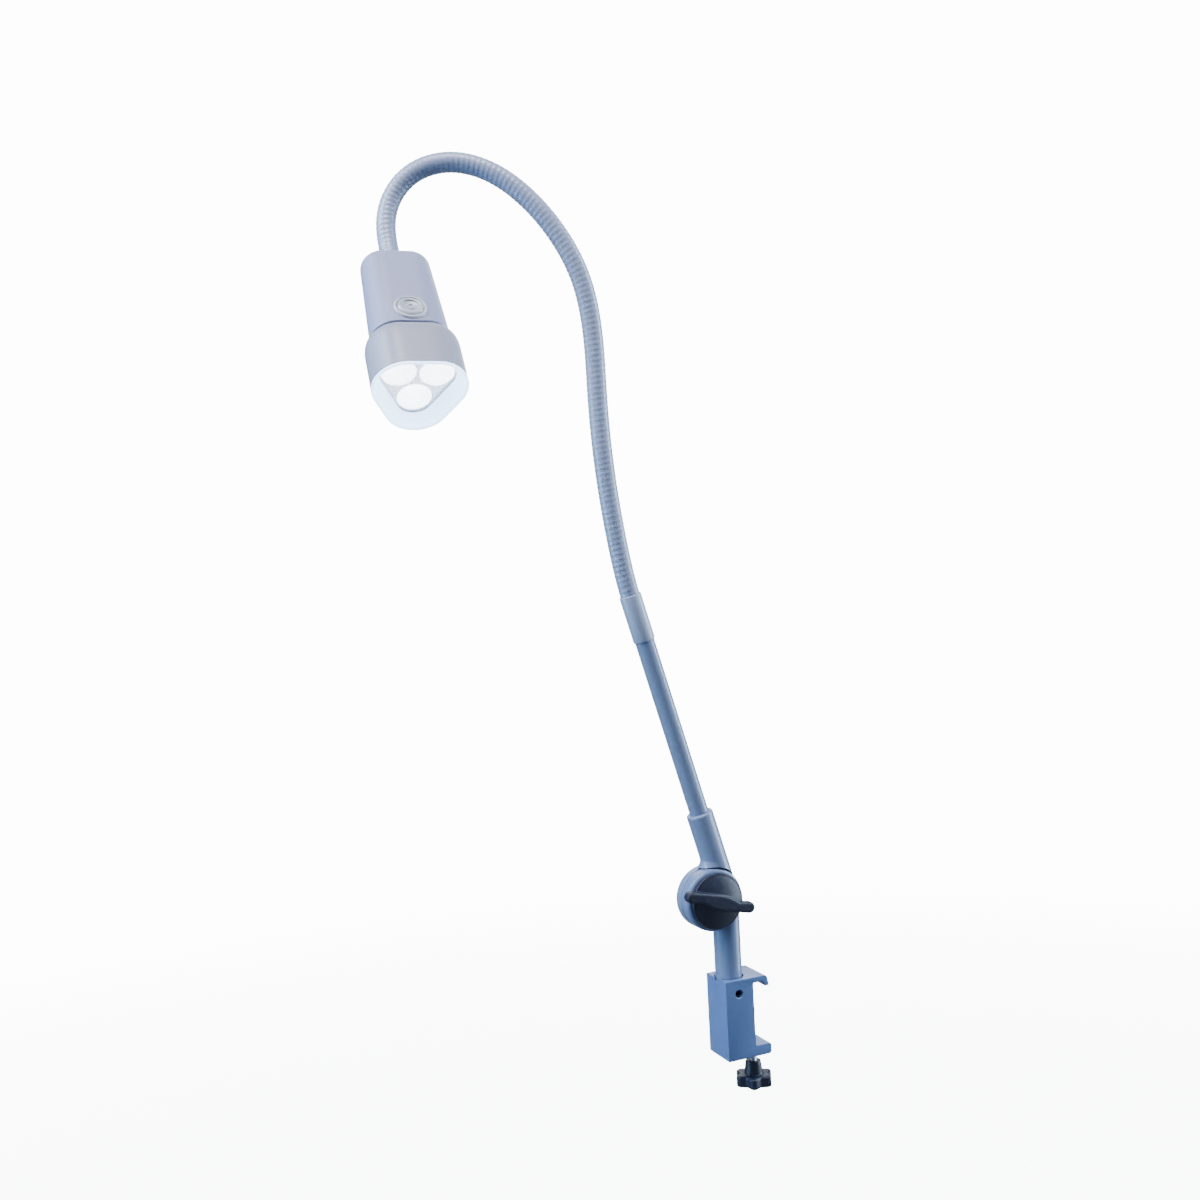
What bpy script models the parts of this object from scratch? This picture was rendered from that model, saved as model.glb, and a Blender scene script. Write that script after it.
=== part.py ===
"""Examination lamp on a rail clamp: clamp, swivel post, tilting tube, gooseneck and LED head.

Frame: the origin is on the back wall of the clamp's mouth, at mid-width and at the middle of the
25 mm rail that the mouth takes. +X points out of the mouth towards the rail, Y runs along the rail
and +Z is up. Everything is in metres.
"""

import math

import bmesh
import bpy
import numpy as np
from mathutils import Matrix, Vector

GAP = 0.0003  # between pieces that touch

# Rail clamp
RAIL_HEIGHT = 0.025
CLAMP_WIDTH = 0.032
CLAMP_DEPTH = 0.0254
CLAMP_TOP = 0.0168
CLAMP_BOTTOM = -0.0475
JAW_TOP = -0.039
HOOK_UNDERSIDE = RAIL_HEIGHT / 2
HOOK_REACH = 0.0147
LIP_BOTTOM = 0.0083
LIP_INNER = 0.0105
SET_SCREW_Z = 0.0057
SET_SCREW_RADIUS = 0.0029

# Clamping screw and its star grip
SCREW_X = 0.0056
SCREW_RADIUS = 0.003
PAD_RADIUS = 0.0035
PAD_HEIGHT = 0.004
GRIP_TOP = -0.0565
GRIP_LOBES_TOP = -0.0672
GRIP_BOTTOM = -0.0768
GRIP_BORE_DEPTH = 0.0105
GRIP_RADIUS = 0.016
GRIP_LOBES = 6
LOBE_WAVE = 0.0019  # half the depth of the valleys between the lobes

# Swivel post and tilt joint
POST_X = -0.0134
POST_RADIUS = 0.011
SPIGOT_RADIUS = 0.006
BUSH_RADIUS = 0.0084
SPIGOT_BOTTOM = -0.024
BUSH_BOTTOM = SPIGOT_BOTTOM + 0.004
RECESS_RADIUS = 0.0114
RECESS_DEPTH = 0.0025
DISC_RADIUS = 0.0255
DISC_HALF = 0.011  # from the joint's mid-plane to the face of either half
DISC_INNER = 0.0008
STUB_OFFSET = DISC_RADIUS - POST_RADIUS
JOINT = Vector((POST_X - STUB_OFFSET, 0, 0.083))
DISC_CLEARANCE = 0.0006  # round each disc, in the other half's stub
WEB_HALF = 0.0070  # half the thickness of the web between stub and disc
LOWER_FILLET = 0.0012
UPPER_FILLET = 0.008
FRICTION_RADIUS = 0.022
FRICTION_HALF = 0.0005
BOLT_RADIUS = 0.004
CAP_SEAT_RADIUS = 0.0075
TILT = math.radians(16.25)  # of the tube from upright, away from the rail

# Wing knob on the tilt joint
WING_RADIUS = 0.0207
WING_SPAN = 0.064
WING_TURN = math.radians(16.4)

# Rigid tube, measured along the arm from the joint
STUB_TOP = 0.069
TUBE_START = 0.040
SLEEVE_START = 0.217
SLEEVE_END = 0.2555
TUBE_RADIUS = 0.0079
TUBE_BORE = 0.0062
SLEEVE_RADIUS = 0.0093

# Gooseneck: the route of its centre line after the sleeve, up to the lamp head
NECK_RADIUS = 0.0081
NECK_BORE = 0.0032
NECK_SECTIONS = 8
BALL_RADIUS = 0.0077
SOCKET_RADIUS = 0.00805
SOCKET_RIM = 0.003
NECK_SPACING = 0.0115
NECK_START = 0.2377  # along the arm, inside the sleeve
NECK_ROUTE = (
    (-0.0950, 0.000, 0.3790),
    (-0.1020, 0.000, 0.4340),
    (-0.1050, 0.000, 0.4900),
    (-0.1070, 0.000, 0.5460),
    (-0.1140, 0.002, 0.5830),
    (-0.1290, 0.008, 0.6170),
    (-0.1500, 0.017, 0.6460),
    (-0.1770, 0.029, 0.6680),
    (-0.2050, 0.040, 0.6750),
    (-0.2330, 0.050, 0.6650),
    (-0.2480, 0.053, 0.6450),
    (-0.2535, 0.0490, 0.6240),
    (-0.2540, 0.0407, 0.6024),
    (-0.2550, 0.030, 0.5880),
)

# Lamp head: its axis runs from the gooseneck towards the light
HEAD_TOP = Vector(NECK_ROUTE[-1])
HEAD_HEADING = math.radians(5.6)  # of the axis, from -Y towards -X
HEAD_DIP = math.radians(53.3)  # of the axis, below the horizontal
WALL = 0.0022
CORNER_OUT = 0.0115  # from the head's axis to the centre of each rounded corner
BODY_TOP_RADIUS = 0.0159
BODY_END_RADIUS = 0.0193
BODY_LENGTH = 0.088
BODY_FILLET = 0.0092
BEZEL_RADIUS = 0.02445
BEZEL_STEP = 0.001
BEZEL_SHOULDER = 0.0104
BEZEL_END = 0.1312
RIM_END = 0.134
WINDOW_DEPTH = 0.1222
LOBE_OUT = 0.0155
LOBE_RADIUS = 0.0135
BUTTON_Z = 0.0715
BUTTON_RING_RADIUS = 0.01175
BUTTON_RADIUS = 0.0094
BUTTON_HOLE_RADIUS = 0.0104
SINK_BOTTOM = 0.0936
SINK_TOP = 0.0970
LED_BOARD_TOP = 0.0988
SCREW_OUT = 0.023  # from the head's axis to each bezel screw
SCREW_HOLE_RADIUS = 0.0018
BEZEL_SCREW_RADIUS = 0.0015

ROUND = 28
SMALL_ROUND = 16
CORNER_POINTS = 6


# ---------------------------------------------------------------- scene and materials


def clear_scene():
    for obj in list(bpy.data.objects):
        bpy.data.objects.remove(obj)
    for name in ("examination_lamp", "frames"):
        collection = bpy.data.collections.new(name)
        bpy.context.scene.collection.children.link(collection)


def material(name, colour, roughness, metallic=0.0):
    made = bpy.data.materials.get(name)
    if made is None:
        made = bpy.data.materials.new(name)
        made.use_nodes = True
        shader = made.node_tree.nodes["Principled BSDF"]
        shader.inputs["Base Color"].default_value = (*colour, 1)
        shader.inputs["Roughness"].default_value = roughness
        shader.inputs["Metallic"].default_value = metallic
    return made


def powder_coat():
    return material("powder_coat", (0.34, 0.41, 0.54), 0.4)


def head_plastic():
    return material("head_plastic", (0.50, 0.51, 0.60), 0.38)


def black_plastic():
    return material("black_plastic", (0.012, 0.013, 0.02), 0.45)


def steel():
    return material("steel", (0.55, 0.56, 0.58), 0.3, 1)


def brass():
    return material("brass", (0.72, 0.55, 0.27), 0.35, 1)


def aluminium():
    return material("aluminium", (0.78, 0.79, 0.8), 0.4, 1)


def circuit_board():
    return material("circuit_board", (0.02, 0.2, 0.08), 0.5)


def reflector_chrome():
    return material("reflector_chrome", (0.93, 0.94, 0.95), 0.08, 1)


def frosted_plastic():
    return material("frosted_plastic", (0.9, 0.92, 0.95), 0.25)


# ---------------------------------------------------------------- making and joining meshes


def link(obj, coat, parent=None, smooth=True):
    """Puts a new object in the lamp's collection with its material, in its parent's frame."""
    bpy.data.collections["examination_lamp"].objects.link(obj)
    obj.data.materials.clear()
    obj.data.materials.append(coat)
    obj.parent = parent
    if smooth:
        obj.data.shade_smooth()
        obj.data.set_sharp_from_angle(angle=math.radians(35))
    return obj


def object_from(bm, name):
    mesh = bpy.data.meshes.new(name)
    bmesh.ops.recalc_face_normals(bm, faces=bm.faces)
    bm.to_mesh(mesh)
    bm.free()
    return bpy.data.objects.new(name, mesh)


def frame_at(origin, rotation=None, name="frame"):
    """An empty that pieces are parented to: its origin is their joint or their seat."""
    empty = bpy.data.objects.new(name, None)
    bpy.data.collections["frames"].objects.link(empty)
    turn = (rotation or Matrix.Identity(3)).to_4x4()
    empty.matrix_world = Matrix.Translation(origin) @ turn
    return empty


def box(name, low, high):
    bm = bmesh.new()
    bmesh.ops.create_cube(bm, size=1)
    size = Vector(high) - Vector(low)
    centre = (Vector(high) + Vector(low)) / 2
    bmesh.ops.scale(bm, vec=size, verts=bm.verts)
    bmesh.ops.translate(bm, vec=centre, verts=bm.verts)
    return object_from(bm, name)


def rod(name, radius, start, end, sides=ROUND, end_radius=None):
    """A cylinder or cone from one point to another."""
    start, end = Vector(start), Vector(end)
    bm = bmesh.new()
    bmesh.ops.create_cone(
        bm,
        cap_ends=True,
        segments=sides,
        radius1=radius,
        radius2=radius if end_radius is None else end_radius,
        depth=(end - start).length,
    )
    turn = (end - start).to_track_quat("Z", "Y").to_matrix().to_4x4()
    bmesh.ops.transform(bm, matrix=Matrix.Translation((start + end) / 2) @ turn, verts=bm.verts)
    return object_from(bm, name)


def ball(name, radius, centre, sides=12):
    bm = bmesh.new()
    bmesh.ops.create_uvsphere(bm, u_segments=sides, v_segments=sides // 2, radius=radius)
    bmesh.ops.translate(bm, vec=centre, verts=bm.verts)
    return object_from(bm, name)


def slab(name, outline, low, high):
    """A flat outline of (x, y) points, raised from height low to height high."""
    bm = bmesh.new()
    face = bm.faces.new([bm.verts.new((x, y, low)) for x, y in outline])
    raised = bmesh.ops.extrude_face_region(bm, geom=[face])["geom"]
    verts = [item for item in raised if isinstance(item, bmesh.types.BMVert)]
    bmesh.ops.translate(bm, vec=(0, 0, high - low), verts=verts)
    return object_from(bm, name)


def turned(name, profile, steps=ROUND):
    """A profile of (radius, height) points about Z, run down its outer side; closed if off the axis."""
    on_axis = profile[0][0] == 0 and profile[-1][0] == 0
    bm = bmesh.new()
    verts = [bm.verts.new((radius, 0, height)) for radius, height in profile]
    for first, second in zip(verts, verts[1:]):
        bm.edges.new((first, second))
    if not on_axis:
        bm.edges.new((verts[-1], verts[0]))
    mesh = bpy.data.meshes.new(name)
    bm.to_mesh(mesh)
    bm.free()
    made = bpy.data.objects.new(name, mesh)
    screw = made.modifiers.new("turn", "SCREW")
    screw.steps = screw.render_steps = steps
    screw.use_merge_vertices = True
    screw.merge_threshold = 0.00001
    return as_mesh(made)


def as_mesh(obj):
    """The object's evaluated shape as a new plain mesh object, in place of the old one."""
    holder = bpy.context.scene.collection
    holder.objects.link(obj)
    bpy.context.view_layer.update()
    graph = bpy.context.evaluated_depsgraph_get()
    mesh = bpy.data.meshes.new_from_object(obj.evaluated_get(graph))
    name = obj.name
    matrix = obj.matrix_world.copy()
    bpy.data.objects.remove(obj)
    made = bpy.data.objects.new(name, mesh)
    made.name = name
    made.matrix_world = matrix
    bm = bmesh.new()
    bm.from_mesh(mesh)
    bmesh.ops.remove_doubles(bm, verts=bm.verts, dist=0.000005)
    bmesh.ops.recalc_face_normals(bm, faces=bm.faces)
    bm.to_mesh(mesh)
    bm.free()
    return made


def tube(name, points, radius, resolution=2):
    """A round bar along a smooth run of points, with filled ends."""
    curve = bpy.data.curves.new(name, "CURVE")
    curve.dimensions = "3D"
    curve.bevel_depth = radius
    curve.bevel_resolution = resolution
    curve.use_fill_caps = True
    spline = curve.splines.new("POLY")
    spline.points.add(len(points) - 1)
    for item, point in zip(spline.points, points):
        item.co = (*point, 1)
    return as_mesh(bpy.data.objects.new(name, curve))


def combine(base, other, operation):
    """Applies one exact Boolean to the base and drops the other object."""
    holder = bpy.context.scene.collection
    holder.objects.link(other)
    modifier = base.modifiers.new(operation.lower(), "BOOLEAN")
    modifier.operation = operation
    modifier.solver = "EXACT"
    modifier.object = other
    made = as_mesh(base)
    bpy.data.objects.remove(other)
    return made


def cut(base, *cutters):
    for cutter in cutters:
        base = combine(base, cutter, "DIFFERENCE")
    return base


def join(base, *others):
    for other in others:
        base = combine(base, other, "UNION")
    return base


def rounded(obj, width, segments=2, angle=50):
    bevel = obj.modifiers.new("rounding", "BEVEL")
    bevel.width = width
    bevel.segments = segments
    bevel.limit_method = "ANGLE"
    bevel.angle_limit = math.radians(angle)
    return as_mesh(obj)


def turn_to(obj, matrix):
    """Moves the mesh itself, so that the object's origin stays where it is."""
    obj.data.transform(matrix)
    return obj


ALONG_MINUS_Y = Matrix.Rotation(math.radians(90), 4, "X")  # takes +Z to -Y


# ---------------------------------------------------------------- rail clamp


def make_clamp_block():
    """A C-shaped block: box, hook with a turned-down lip, and lower jaw, bored for the post."""
    outline = (
        (-CLAMP_DEPTH, CLAMP_BOTTOM),
        (0.0128, CLAMP_BOTTOM),
        (0.0144, -0.0458),
        (0.0144, -0.0404),
        (0.0132, JAW_TOP),
        (0, JAW_TOP),
        (0, HOOK_UNDERSIDE),
        (0.0088, HOOK_UNDERSIDE),
        (LIP_INNER, 0.0098),
        (LIP_INNER, LIP_BOTTOM),
        (HOOK_REACH, LIP_BOTTOM),
        (0.0133, 0.0156),
        (0.0122, CLAMP_TOP),
        (-CLAMP_DEPTH, CLAMP_TOP),
    )
    block = slab("clamp_block", outline, -CLAMP_WIDTH / 2, CLAMP_WIDTH / 2)
    turn_to(block, ALONG_MINUS_Y)
    block = rounded(block, 0.0005, 2, 80)
    below, above = CLAMP_BOTTOM - 0.001, CLAMP_TOP + 0.001
    bore = rod("bore", BUSH_RADIUS + GAP, (POST_X, 0, below), (POST_X, 0, above))
    recess_floor = CLAMP_TOP - RECESS_DEPTH
    recess = rod("recess", RECESS_RADIUS, (POST_X, 0, recess_floor), (POST_X, 0, above), 40)
    feed = rod("feed", SCREW_RADIUS + GAP, (SCREW_X, 0, below), (SCREW_X, 0, JAW_TOP + 0.001), 24)
    side = rod(
        "side",
        SET_SCREW_RADIUS + GAP,
        (POST_X, -CLAMP_WIDTH / 2 - 0.001, SET_SCREW_Z),
        (POST_X, -BUSH_RADIUS + 0.002, SET_SCREW_Z),
        24,
    )
    return link(cut(block, bore, recess, feed, side), powder_coat())


def make_post_bush():
    """A plain bearing sleeve that the post's spigot turns in, drilled for the set screw."""
    top = CLAMP_TOP - RECESS_DEPTH - GAP
    bottom = BUSH_BOTTOM
    inner = SPIGOT_RADIUS + GAP
    bush = turned(
        "post_bush",
        ((BUSH_RADIUS, top), (BUSH_RADIUS, bottom), (inner, bottom), (inner, top)),
        20,
    )
    turn_to(bush, Matrix.Translation((POST_X, 0, 0)))
    hole = rod(
        "hole",
        SET_SCREW_RADIUS + GAP,
        (POST_X, -0.02, SET_SCREW_Z),
        (POST_X, -0.002, SET_SCREW_Z),
        20,
    )
    return link(cut(bush, hole), brass())


def make_set_screw():
    """A grub screw with a hexagon socket, sunk just below the clamp's side face."""
    head = -CLAMP_WIDTH / 2 + 0.0012
    tip = -SPIGOT_RADIUS - GAP
    screw = rod(
        "set_screw", SET_SCREW_RADIUS, (POST_X, head, SET_SCREW_Z), (POST_X, tip, SET_SCREW_Z), 24
    )
    socket = rod(
        "socket",
        0.0017,
        (POST_X, head - 0.001, SET_SCREW_Z),
        (POST_X, head + 0.0028, SET_SCREW_Z),
        6,
    )
    return link(cut(screw, socket), steel())


def make_retaining_ring():
    """A ring on the end of the spigot, which keeps the post in its bush."""
    top = BUSH_BOTTOM - GAP
    bottom = SPIGOT_BOTTOM + 0.0016
    inner, outer = 0.0049, 0.0076
    profile = ((outer, top), (outer, bottom), (inner, bottom), (inner, top))
    ring = turned("retaining_ring", profile, SMALL_ROUND)
    return link(turn_to(ring, Matrix.Translation((POST_X, 0, 0))), steel())


def make_dc_inlet():
    """A round low-voltage socket in the clamp's underside, with its centre pin."""
    bottom = CLAMP_BOTTOM - 0.0012
    top = CLAMP_BOTTOM + 0.014
    profile = (
        (0, top),
        (BUSH_RADIUS, top),
        (BUSH_RADIUS, CLAMP_BOTTOM - GAP),
        (0.0102, CLAMP_BOTTOM - GAP),
        (0.0102, bottom),
        (0.0029, bottom),
        (0.0029, bottom + 0.0098),
        (0.0010, bottom + 0.0098),
        (0.0010, bottom + 0.001),
        (0, bottom + 0.001),
    )
    inlet = turned("dc_inlet", profile, 24)
    return link(turn_to(inlet, Matrix.Translation((POST_X, 0, 0))), black_plastic())


def make_clamping_screw():
    """The pressure pad, the screw through the lower jaw and the star grip that turns it."""
    pad_top = -RAIL_HEIGHT / 2 - GAP
    pad_bottom = pad_top - PAD_HEIGHT
    pad = turned(
        "pressure_pad",
        (
            (0, pad_top),
            (PAD_RADIUS - 0.0006, pad_top),
            (PAD_RADIUS, pad_top - 0.0006),
            (PAD_RADIUS, pad_bottom),
            (0, pad_bottom),
        ),
        24,
    )
    seat = frame_at((SCREW_X, 0, pad_top), name="pad_frame")
    place = Matrix.Translation((SCREW_X, 0, 0))
    back = Matrix.Translation((-SCREW_X, 0, -pad_top))
    link(turn_to(pad, back @ place), black_plastic(), seat)

    screw = rod(
        "clamp_screw",
        SCREW_RADIUS,
        (SCREW_X, 0, GRIP_TOP - GRIP_BORE_DEPTH + 0.0005),
        (SCREW_X, 0, pad_bottom - GAP),
        24,
    )
    link(turn_to(screw, back), steel(), seat)

    lobes = []
    for step in range(GRIP_LOBES * 8):
        angle = 2 * math.pi * step / (GRIP_LOBES * 8)
        radius = GRIP_RADIUS - LOBE_WAVE * (1 - math.cos(GRIP_LOBES * angle))
        lobes.append((radius * math.cos(angle), radius * math.sin(angle)))
    grip = rounded(slab("star_knob", lobes, GRIP_BOTTOM, GRIP_LOBES_TOP), 0.0018, 1, 60)
    hub = rod("hub", 0.0082, (0, 0, GRIP_LOBES_TOP - 0.002), (0, 0, GRIP_TOP), 24, 0.0062)
    bore_floor = (0, 0, GRIP_TOP - GRIP_BORE_DEPTH)
    bore = rod("bore", SCREW_RADIUS + GAP, bore_floor, (0, 0, GRIP_TOP + 0.001), SMALL_ROUND)
    grip = cut(join(grip, hub), bore)
    link(turn_to(grip, back @ place), black_plastic(), seat)


# ---------------------------------------------------------------- tilt joint


def half_joint(name, side, stub_end, fillet):
    """Half of the tilt joint: a round stub tangent to a half-thickness disc about Y.

    The stub runs along +Z at +X from the joint's centre. side is +1 for the half behind the
    mid-plane and -1 for the half in front of it; the other half of the stub clears the facing disc.
    """
    inner, outer = sorted((side * DISC_INNER, side * DISC_HALF))
    disc = rod("disc", DISC_RADIUS, (0, inner, 0), (0, outer, 0), 44)
    disc = rounded(disc, 0.0007, 1, 60)
    stub = rod("stub", POST_RADIUS, (STUB_OFFSET, 0, 0), (STUB_OFFSET, 0, stub_end), 32)
    centre_x = STUB_OFFSET - POST_RADIUS - fillet
    centre_z = math.sqrt((DISC_RADIUS + fillet) ** 2 - centre_x**2)
    start = math.atan2(-centre_z, -centre_x)
    web = [(STUB_OFFSET, 0), (STUB_OFFSET, centre_z)]
    for step in range(7):
        angle = start * step / 6
        web.append((centre_x + fillet * math.cos(angle), centre_z + fillet * math.sin(angle)))
    web.append((0, 0))
    filler = turn_to(slab("web", web[::-1], -WEB_HALF, WEB_HALF), ALONG_MINUS_Y)
    body = join(stub, disc, filler)
    clearance = rod(
        "clearance",
        DISC_RADIUS + DISC_CLEARANCE,
        (0, side * DISC_INNER, 0),
        (0, -side * (DISC_HALF + 0.002), 0),
        44,
    )
    if side > 0:
        cap_seat = rod("cap_seat", CAP_SEAT_RADIUS, (0, 0.005, 0), (0, 0.013, 0), SMALL_ROUND)
        body = cut(body, clearance, cap_seat)
    else:
        body = cut(body, clearance)
    bolt_hole = rod("bolt_hole", BOLT_RADIUS + GAP, (0, -0.02, 0), (0, 0.02, 0), SMALL_ROUND)
    body = cut(body, bolt_hole)
    body.name = name
    return body


def make_lower_post():
    """The swivel post: spigot in the clamp's bush, stub, and the front half of the joint."""
    seat = CLAMP_TOP - RECESS_DEPTH + GAP
    body = half_joint("lower_post", -1, JOINT.z - seat, LOWER_FILLET)
    turn_to(body, Matrix.Scale(-1, 4, (0, 0, 1)))
    body.data.flip_normals()
    spigot = rod(
        "spigot",
        SPIGOT_RADIUS,
        (STUB_OFFSET, 0, SPIGOT_BOTTOM - JOINT.z),
        (STUB_OFFSET, 0, seat - JOINT.z + 0.002),
        24,
    )
    body = join(body, spigot)
    groove = turned(
        "groove",
        ((0.0075, 0.0042), (0.0075, 0.0013), (0.0046, 0.0013), (0.0046, 0.0042)),
        24,
    )
    turn_to(groove, Matrix.Translation((STUB_OFFSET, 0, SPIGOT_BOTTOM - JOINT.z)))
    body = cut(body, groove)
    body.name = "lower_post"
    link(body, powder_coat(), frame_at(JOINT, name="post_frame"))


def make_arm(arm):
    """Everything fixed to the rigid tube, up to the sleeve that holds the gooseneck."""
    upper = half_joint("upper_post", 1, STUB_TOP, UPPER_FILLET)
    socket = rod(
        "socket", TUBE_RADIUS + GAP, (STUB_OFFSET, 0, TUBE_START - GAP), (STUB_OFFSET, 0, 0.08)
    )
    upper = cut(upper, socket)
    upper.name = "upper_post"
    upper = rounded(upper, 0.0012, 1, 70)
    link(upper, powder_coat(), arm)

    pipe = turned(
        "rigid_tube",
        (
            (TUBE_RADIUS, NECK_START - GAP),
            (TUBE_RADIUS, TUBE_START),
            (TUBE_BORE, TUBE_START),
            (TUBE_BORE, NECK_START - GAP),
        ),
    )
    link(turn_to(pipe, Matrix.Translation((STUB_OFFSET, 0, 0))), powder_coat(), arm)

    inner = NECK_RADIUS + GAP
    sleeve = turned(
        "tube_sleeve",
        (
            (SLEEVE_RADIUS - 0.0009, SLEEVE_END),
            (SLEEVE_RADIUS, SLEEVE_END - 0.0012),
            (SLEEVE_RADIUS, SLEEVE_START + 0.0012),
            (SLEEVE_RADIUS - 0.0009, SLEEVE_START),
            (inner, SLEEVE_START),
            (inner, SLEEVE_END),
        ),
    )
    link(turn_to(sleeve, Matrix.Translation((STUB_OFFSET, 0, 0))), powder_coat(), arm)


def make_joint_hardware():
    """Friction disc, pivot bolt, rear cap, washer and wing knob, all on the joint's axis."""
    frame = frame_at(JOINT, name="joint_frame")
    outer, inner, half = FRICTION_RADIUS, BOLT_RADIUS + 0.0005, FRICTION_HALF
    profile = ((outer, half), (outer, -half), (inner, -half), (inner, half))
    friction = turned("friction_disc", profile, 24)
    link(turn_to(friction, ALONG_MINUS_Y), black_plastic(), frame)

    bolt = rod("pivot_bolt", BOLT_RADIUS, (0, 0.006, 0), (0, -0.0195, 0), 24)
    head = rod("head", 0.0070, (0, 0.0053, 0), (0, 0.0090, 0), 6)
    link(join(bolt, head), steel(), frame)

    cap = turned(
        "rear_cap",
        ((0, 0.0122), (0.0050, 0.0120), (0.0071, 0.0112), (0.0071, 0.0093), (0, 0.0093)),
        28,
    )
    link(turn_to(cap, ALONG_MINUS_Y.inverted()), black_plastic(), frame)

    face = DISC_HALF + GAP
    washer = turned(
        "wing_washer",
        ((0.0080, face + 0.001), (0.0080, face), (0.0044, face), (0.0044, face + 0.001)),
        28,
    )
    link(turn_to(washer, ALONG_MINUS_Y), steel(), frame)

    base = face + 0.001 + GAP
    disc = turned(
        "wing_knob",
        (
            (0, base + 0.0066),
            (0.0150, base + 0.0060),
            (0.0190, base + 0.0050),
            (WING_RADIUS, base + 0.0030),
            (WING_RADIUS, base + 0.0008),
            (WING_RADIUS - 0.0008, base),
            (0, base),
        ),
        36,
    )
    half = WING_SPAN / 2
    bar = []
    for sign in (1, -1):
        for step in range(7):
            angle = math.radians(-90 + 30 * step)
            x = sign * (half - 0.0038 + 0.0038 * math.cos(angle))
            bar.append((x, sign * 0.0038 * math.sin(angle)))
        bar.append((0, sign * 0.0062))
    wing = rounded(slab("wing", bar, base + 0.0004, base + 0.0108), 0.0014, 1, 60)
    bore = rod("bore", BOLT_RADIUS + GAP, (0, 0, base - 0.001), (0, 0, 0.0202), 24)
    knob = cut(join(disc, wing), bore)
    knob.name = "wing_knob"
    turn_to(knob, Matrix.Rotation(WING_TURN, 4, "Y") @ ALONG_MINUS_Y)
    link(knob, black_plastic(), frame)


# ---------------------------------------------------------------- gooseneck


class Route:
    """A natural cubic spline through the neck's route points, read by distance along it."""

    def __init__(self, points):
        self.points = np.array(points)
        steps = np.linalg.norm(np.diff(self.points, axis=0), axis=1)
        self.at = np.concatenate([[0], np.cumsum(steps)])
        count = len(points)
        system = np.eye(count)
        right = np.zeros((count, 3))
        for i in range(1, count - 1):
            before, after = steps[i - 1], steps[i]
            system[i, i - 1 : i + 2] = before, 2 * (before + after), after
            slope_after = (self.points[i + 1] - self.points[i]) / after
            slope_before = (self.points[i] - self.points[i - 1]) / before
            right[i] = 6 * (slope_after - slope_before)
        self.bend = np.linalg.solve(system, right)
        fine = np.linspace(0, self.at[-1], 2000)
        places = np.array([self.read(t) for t in fine])
        run = np.concatenate([[0], np.cumsum(np.linalg.norm(np.diff(places, axis=0), axis=1))])
        self.fine, self.run = fine, run
        self.length = run[-1]

    def read(self, t):
        i = int(np.clip(np.searchsorted(self.at, t) - 1, 0, len(self.at) - 2))
        width = self.at[i + 1] - self.at[i]
        a = (self.at[i + 1] - t) / width
        b = 1 - a
        curve = (a**3 - a) * self.bend[i] + (b**3 - b) * self.bend[i + 1]
        return a * self.points[i] + b * self.points[i + 1] + curve * width**2 / 6

    def point(self, distance):
        return Vector(self.read(np.interp(distance, self.run, self.fine)))

    def along(self, distance):
        return (self.point(distance + 0.0005) - self.point(distance - 0.0005)).normalized()

    def stretch(self, start, end, spacing):
        count = max(2, round((end - start) / spacing) + 1)
        return [self.point(d) for d in np.linspace(start, end, count)]


def arm_point(along):
    """A point on the tube's centre line, at a distance along the arm from the joint."""
    across = Vector((math.cos(TILT), 0, math.sin(TILT)))
    up = Vector((-math.sin(TILT), 0, math.cos(TILT)))
    return JOINT + across * STUB_OFFSET + up * along


def whole_route():
    """The neck's route from inside the sleeve to the head."""
    return Route((arm_point(NECK_START), arm_point(SLEEVE_END), *NECK_ROUTE))


def neck_joints(route):
    """The distance along the route of each ball joint between two sections."""
    first = SLEEVE_END - NECK_START
    section = (route.length - first) / NECK_SECTIONS
    return [first + section * (k + 1) for k in range(NECK_SECTIONS - 1)]


def make_gooseneck(route):
    """Hollow sections with a ball on each upper end that sits in the next section's socket."""
    joints = neck_joints(route)
    starts = [GAP] + [d + SOCKET_RIM for d in joints]
    ends = [d - 0.0006 for d in joints] + [route.length - 0.0076]
    for k in range(NECK_SECTIONS):
        name = f"neck_section_{k + 1}"
        body = tube(name, route.stretch(starts[k], ends[k], NECK_SPACING), NECK_RADIUS)
        bore = route.stretch(starts[k] - 0.001, ends[k] + 0.001, NECK_SPACING)
        if k < NECK_SECTIONS - 1:
            body = join(body, ball("ball", BALL_RADIUS, route.point(joints[k])))
            bore.append(route.point(joints[k] + BALL_RADIUS + 0.001))
        if k > 0:
            body = cut(body, ball("socket", SOCKET_RADIUS, route.point(joints[k - 1])))
        body = cut(body, tube("bore", bore, NECK_BORE, 0))
        body.name = name
        pivot = route.point(joints[k - 1]) if k else route.point(0)
        turn_to(body, Matrix.Translation(-pivot))
        link(body, powder_coat(), frame_at(pivot, name=f"{name}_frame"))


# ---------------------------------------------------------------- lamp head


def head_axes():
    """The head's frame: x out of the flat side with the button, z along its axis."""
    heading = Vector((-math.sin(HEAD_HEADING), -math.cos(HEAD_HEADING), 0))
    up = Vector((0, 0, 1))
    z = heading * math.cos(HEAD_DIP) - up * math.sin(HEAD_DIP)
    x = heading * math.sin(HEAD_DIP) + up * math.cos(HEAD_DIP)
    y = z.cross(x)
    return Matrix((x, y, z)).transposed()


def three_sided(out, radius):
    """A rounded triangle: three corner arcs, with a flat side facing +x."""
    points = []
    for corner in (60, 180, 300):
        middle = math.radians(corner)
        for step in range(CORNER_POINTS + 1):
            angle = middle + math.radians(-60 + 120 * step / CORNER_POINTS)
            x = out * math.cos(middle) + radius * math.cos(angle)
            y = out * math.sin(middle) + radius * math.sin(angle)
            points.append((x, y))
    return points


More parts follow.
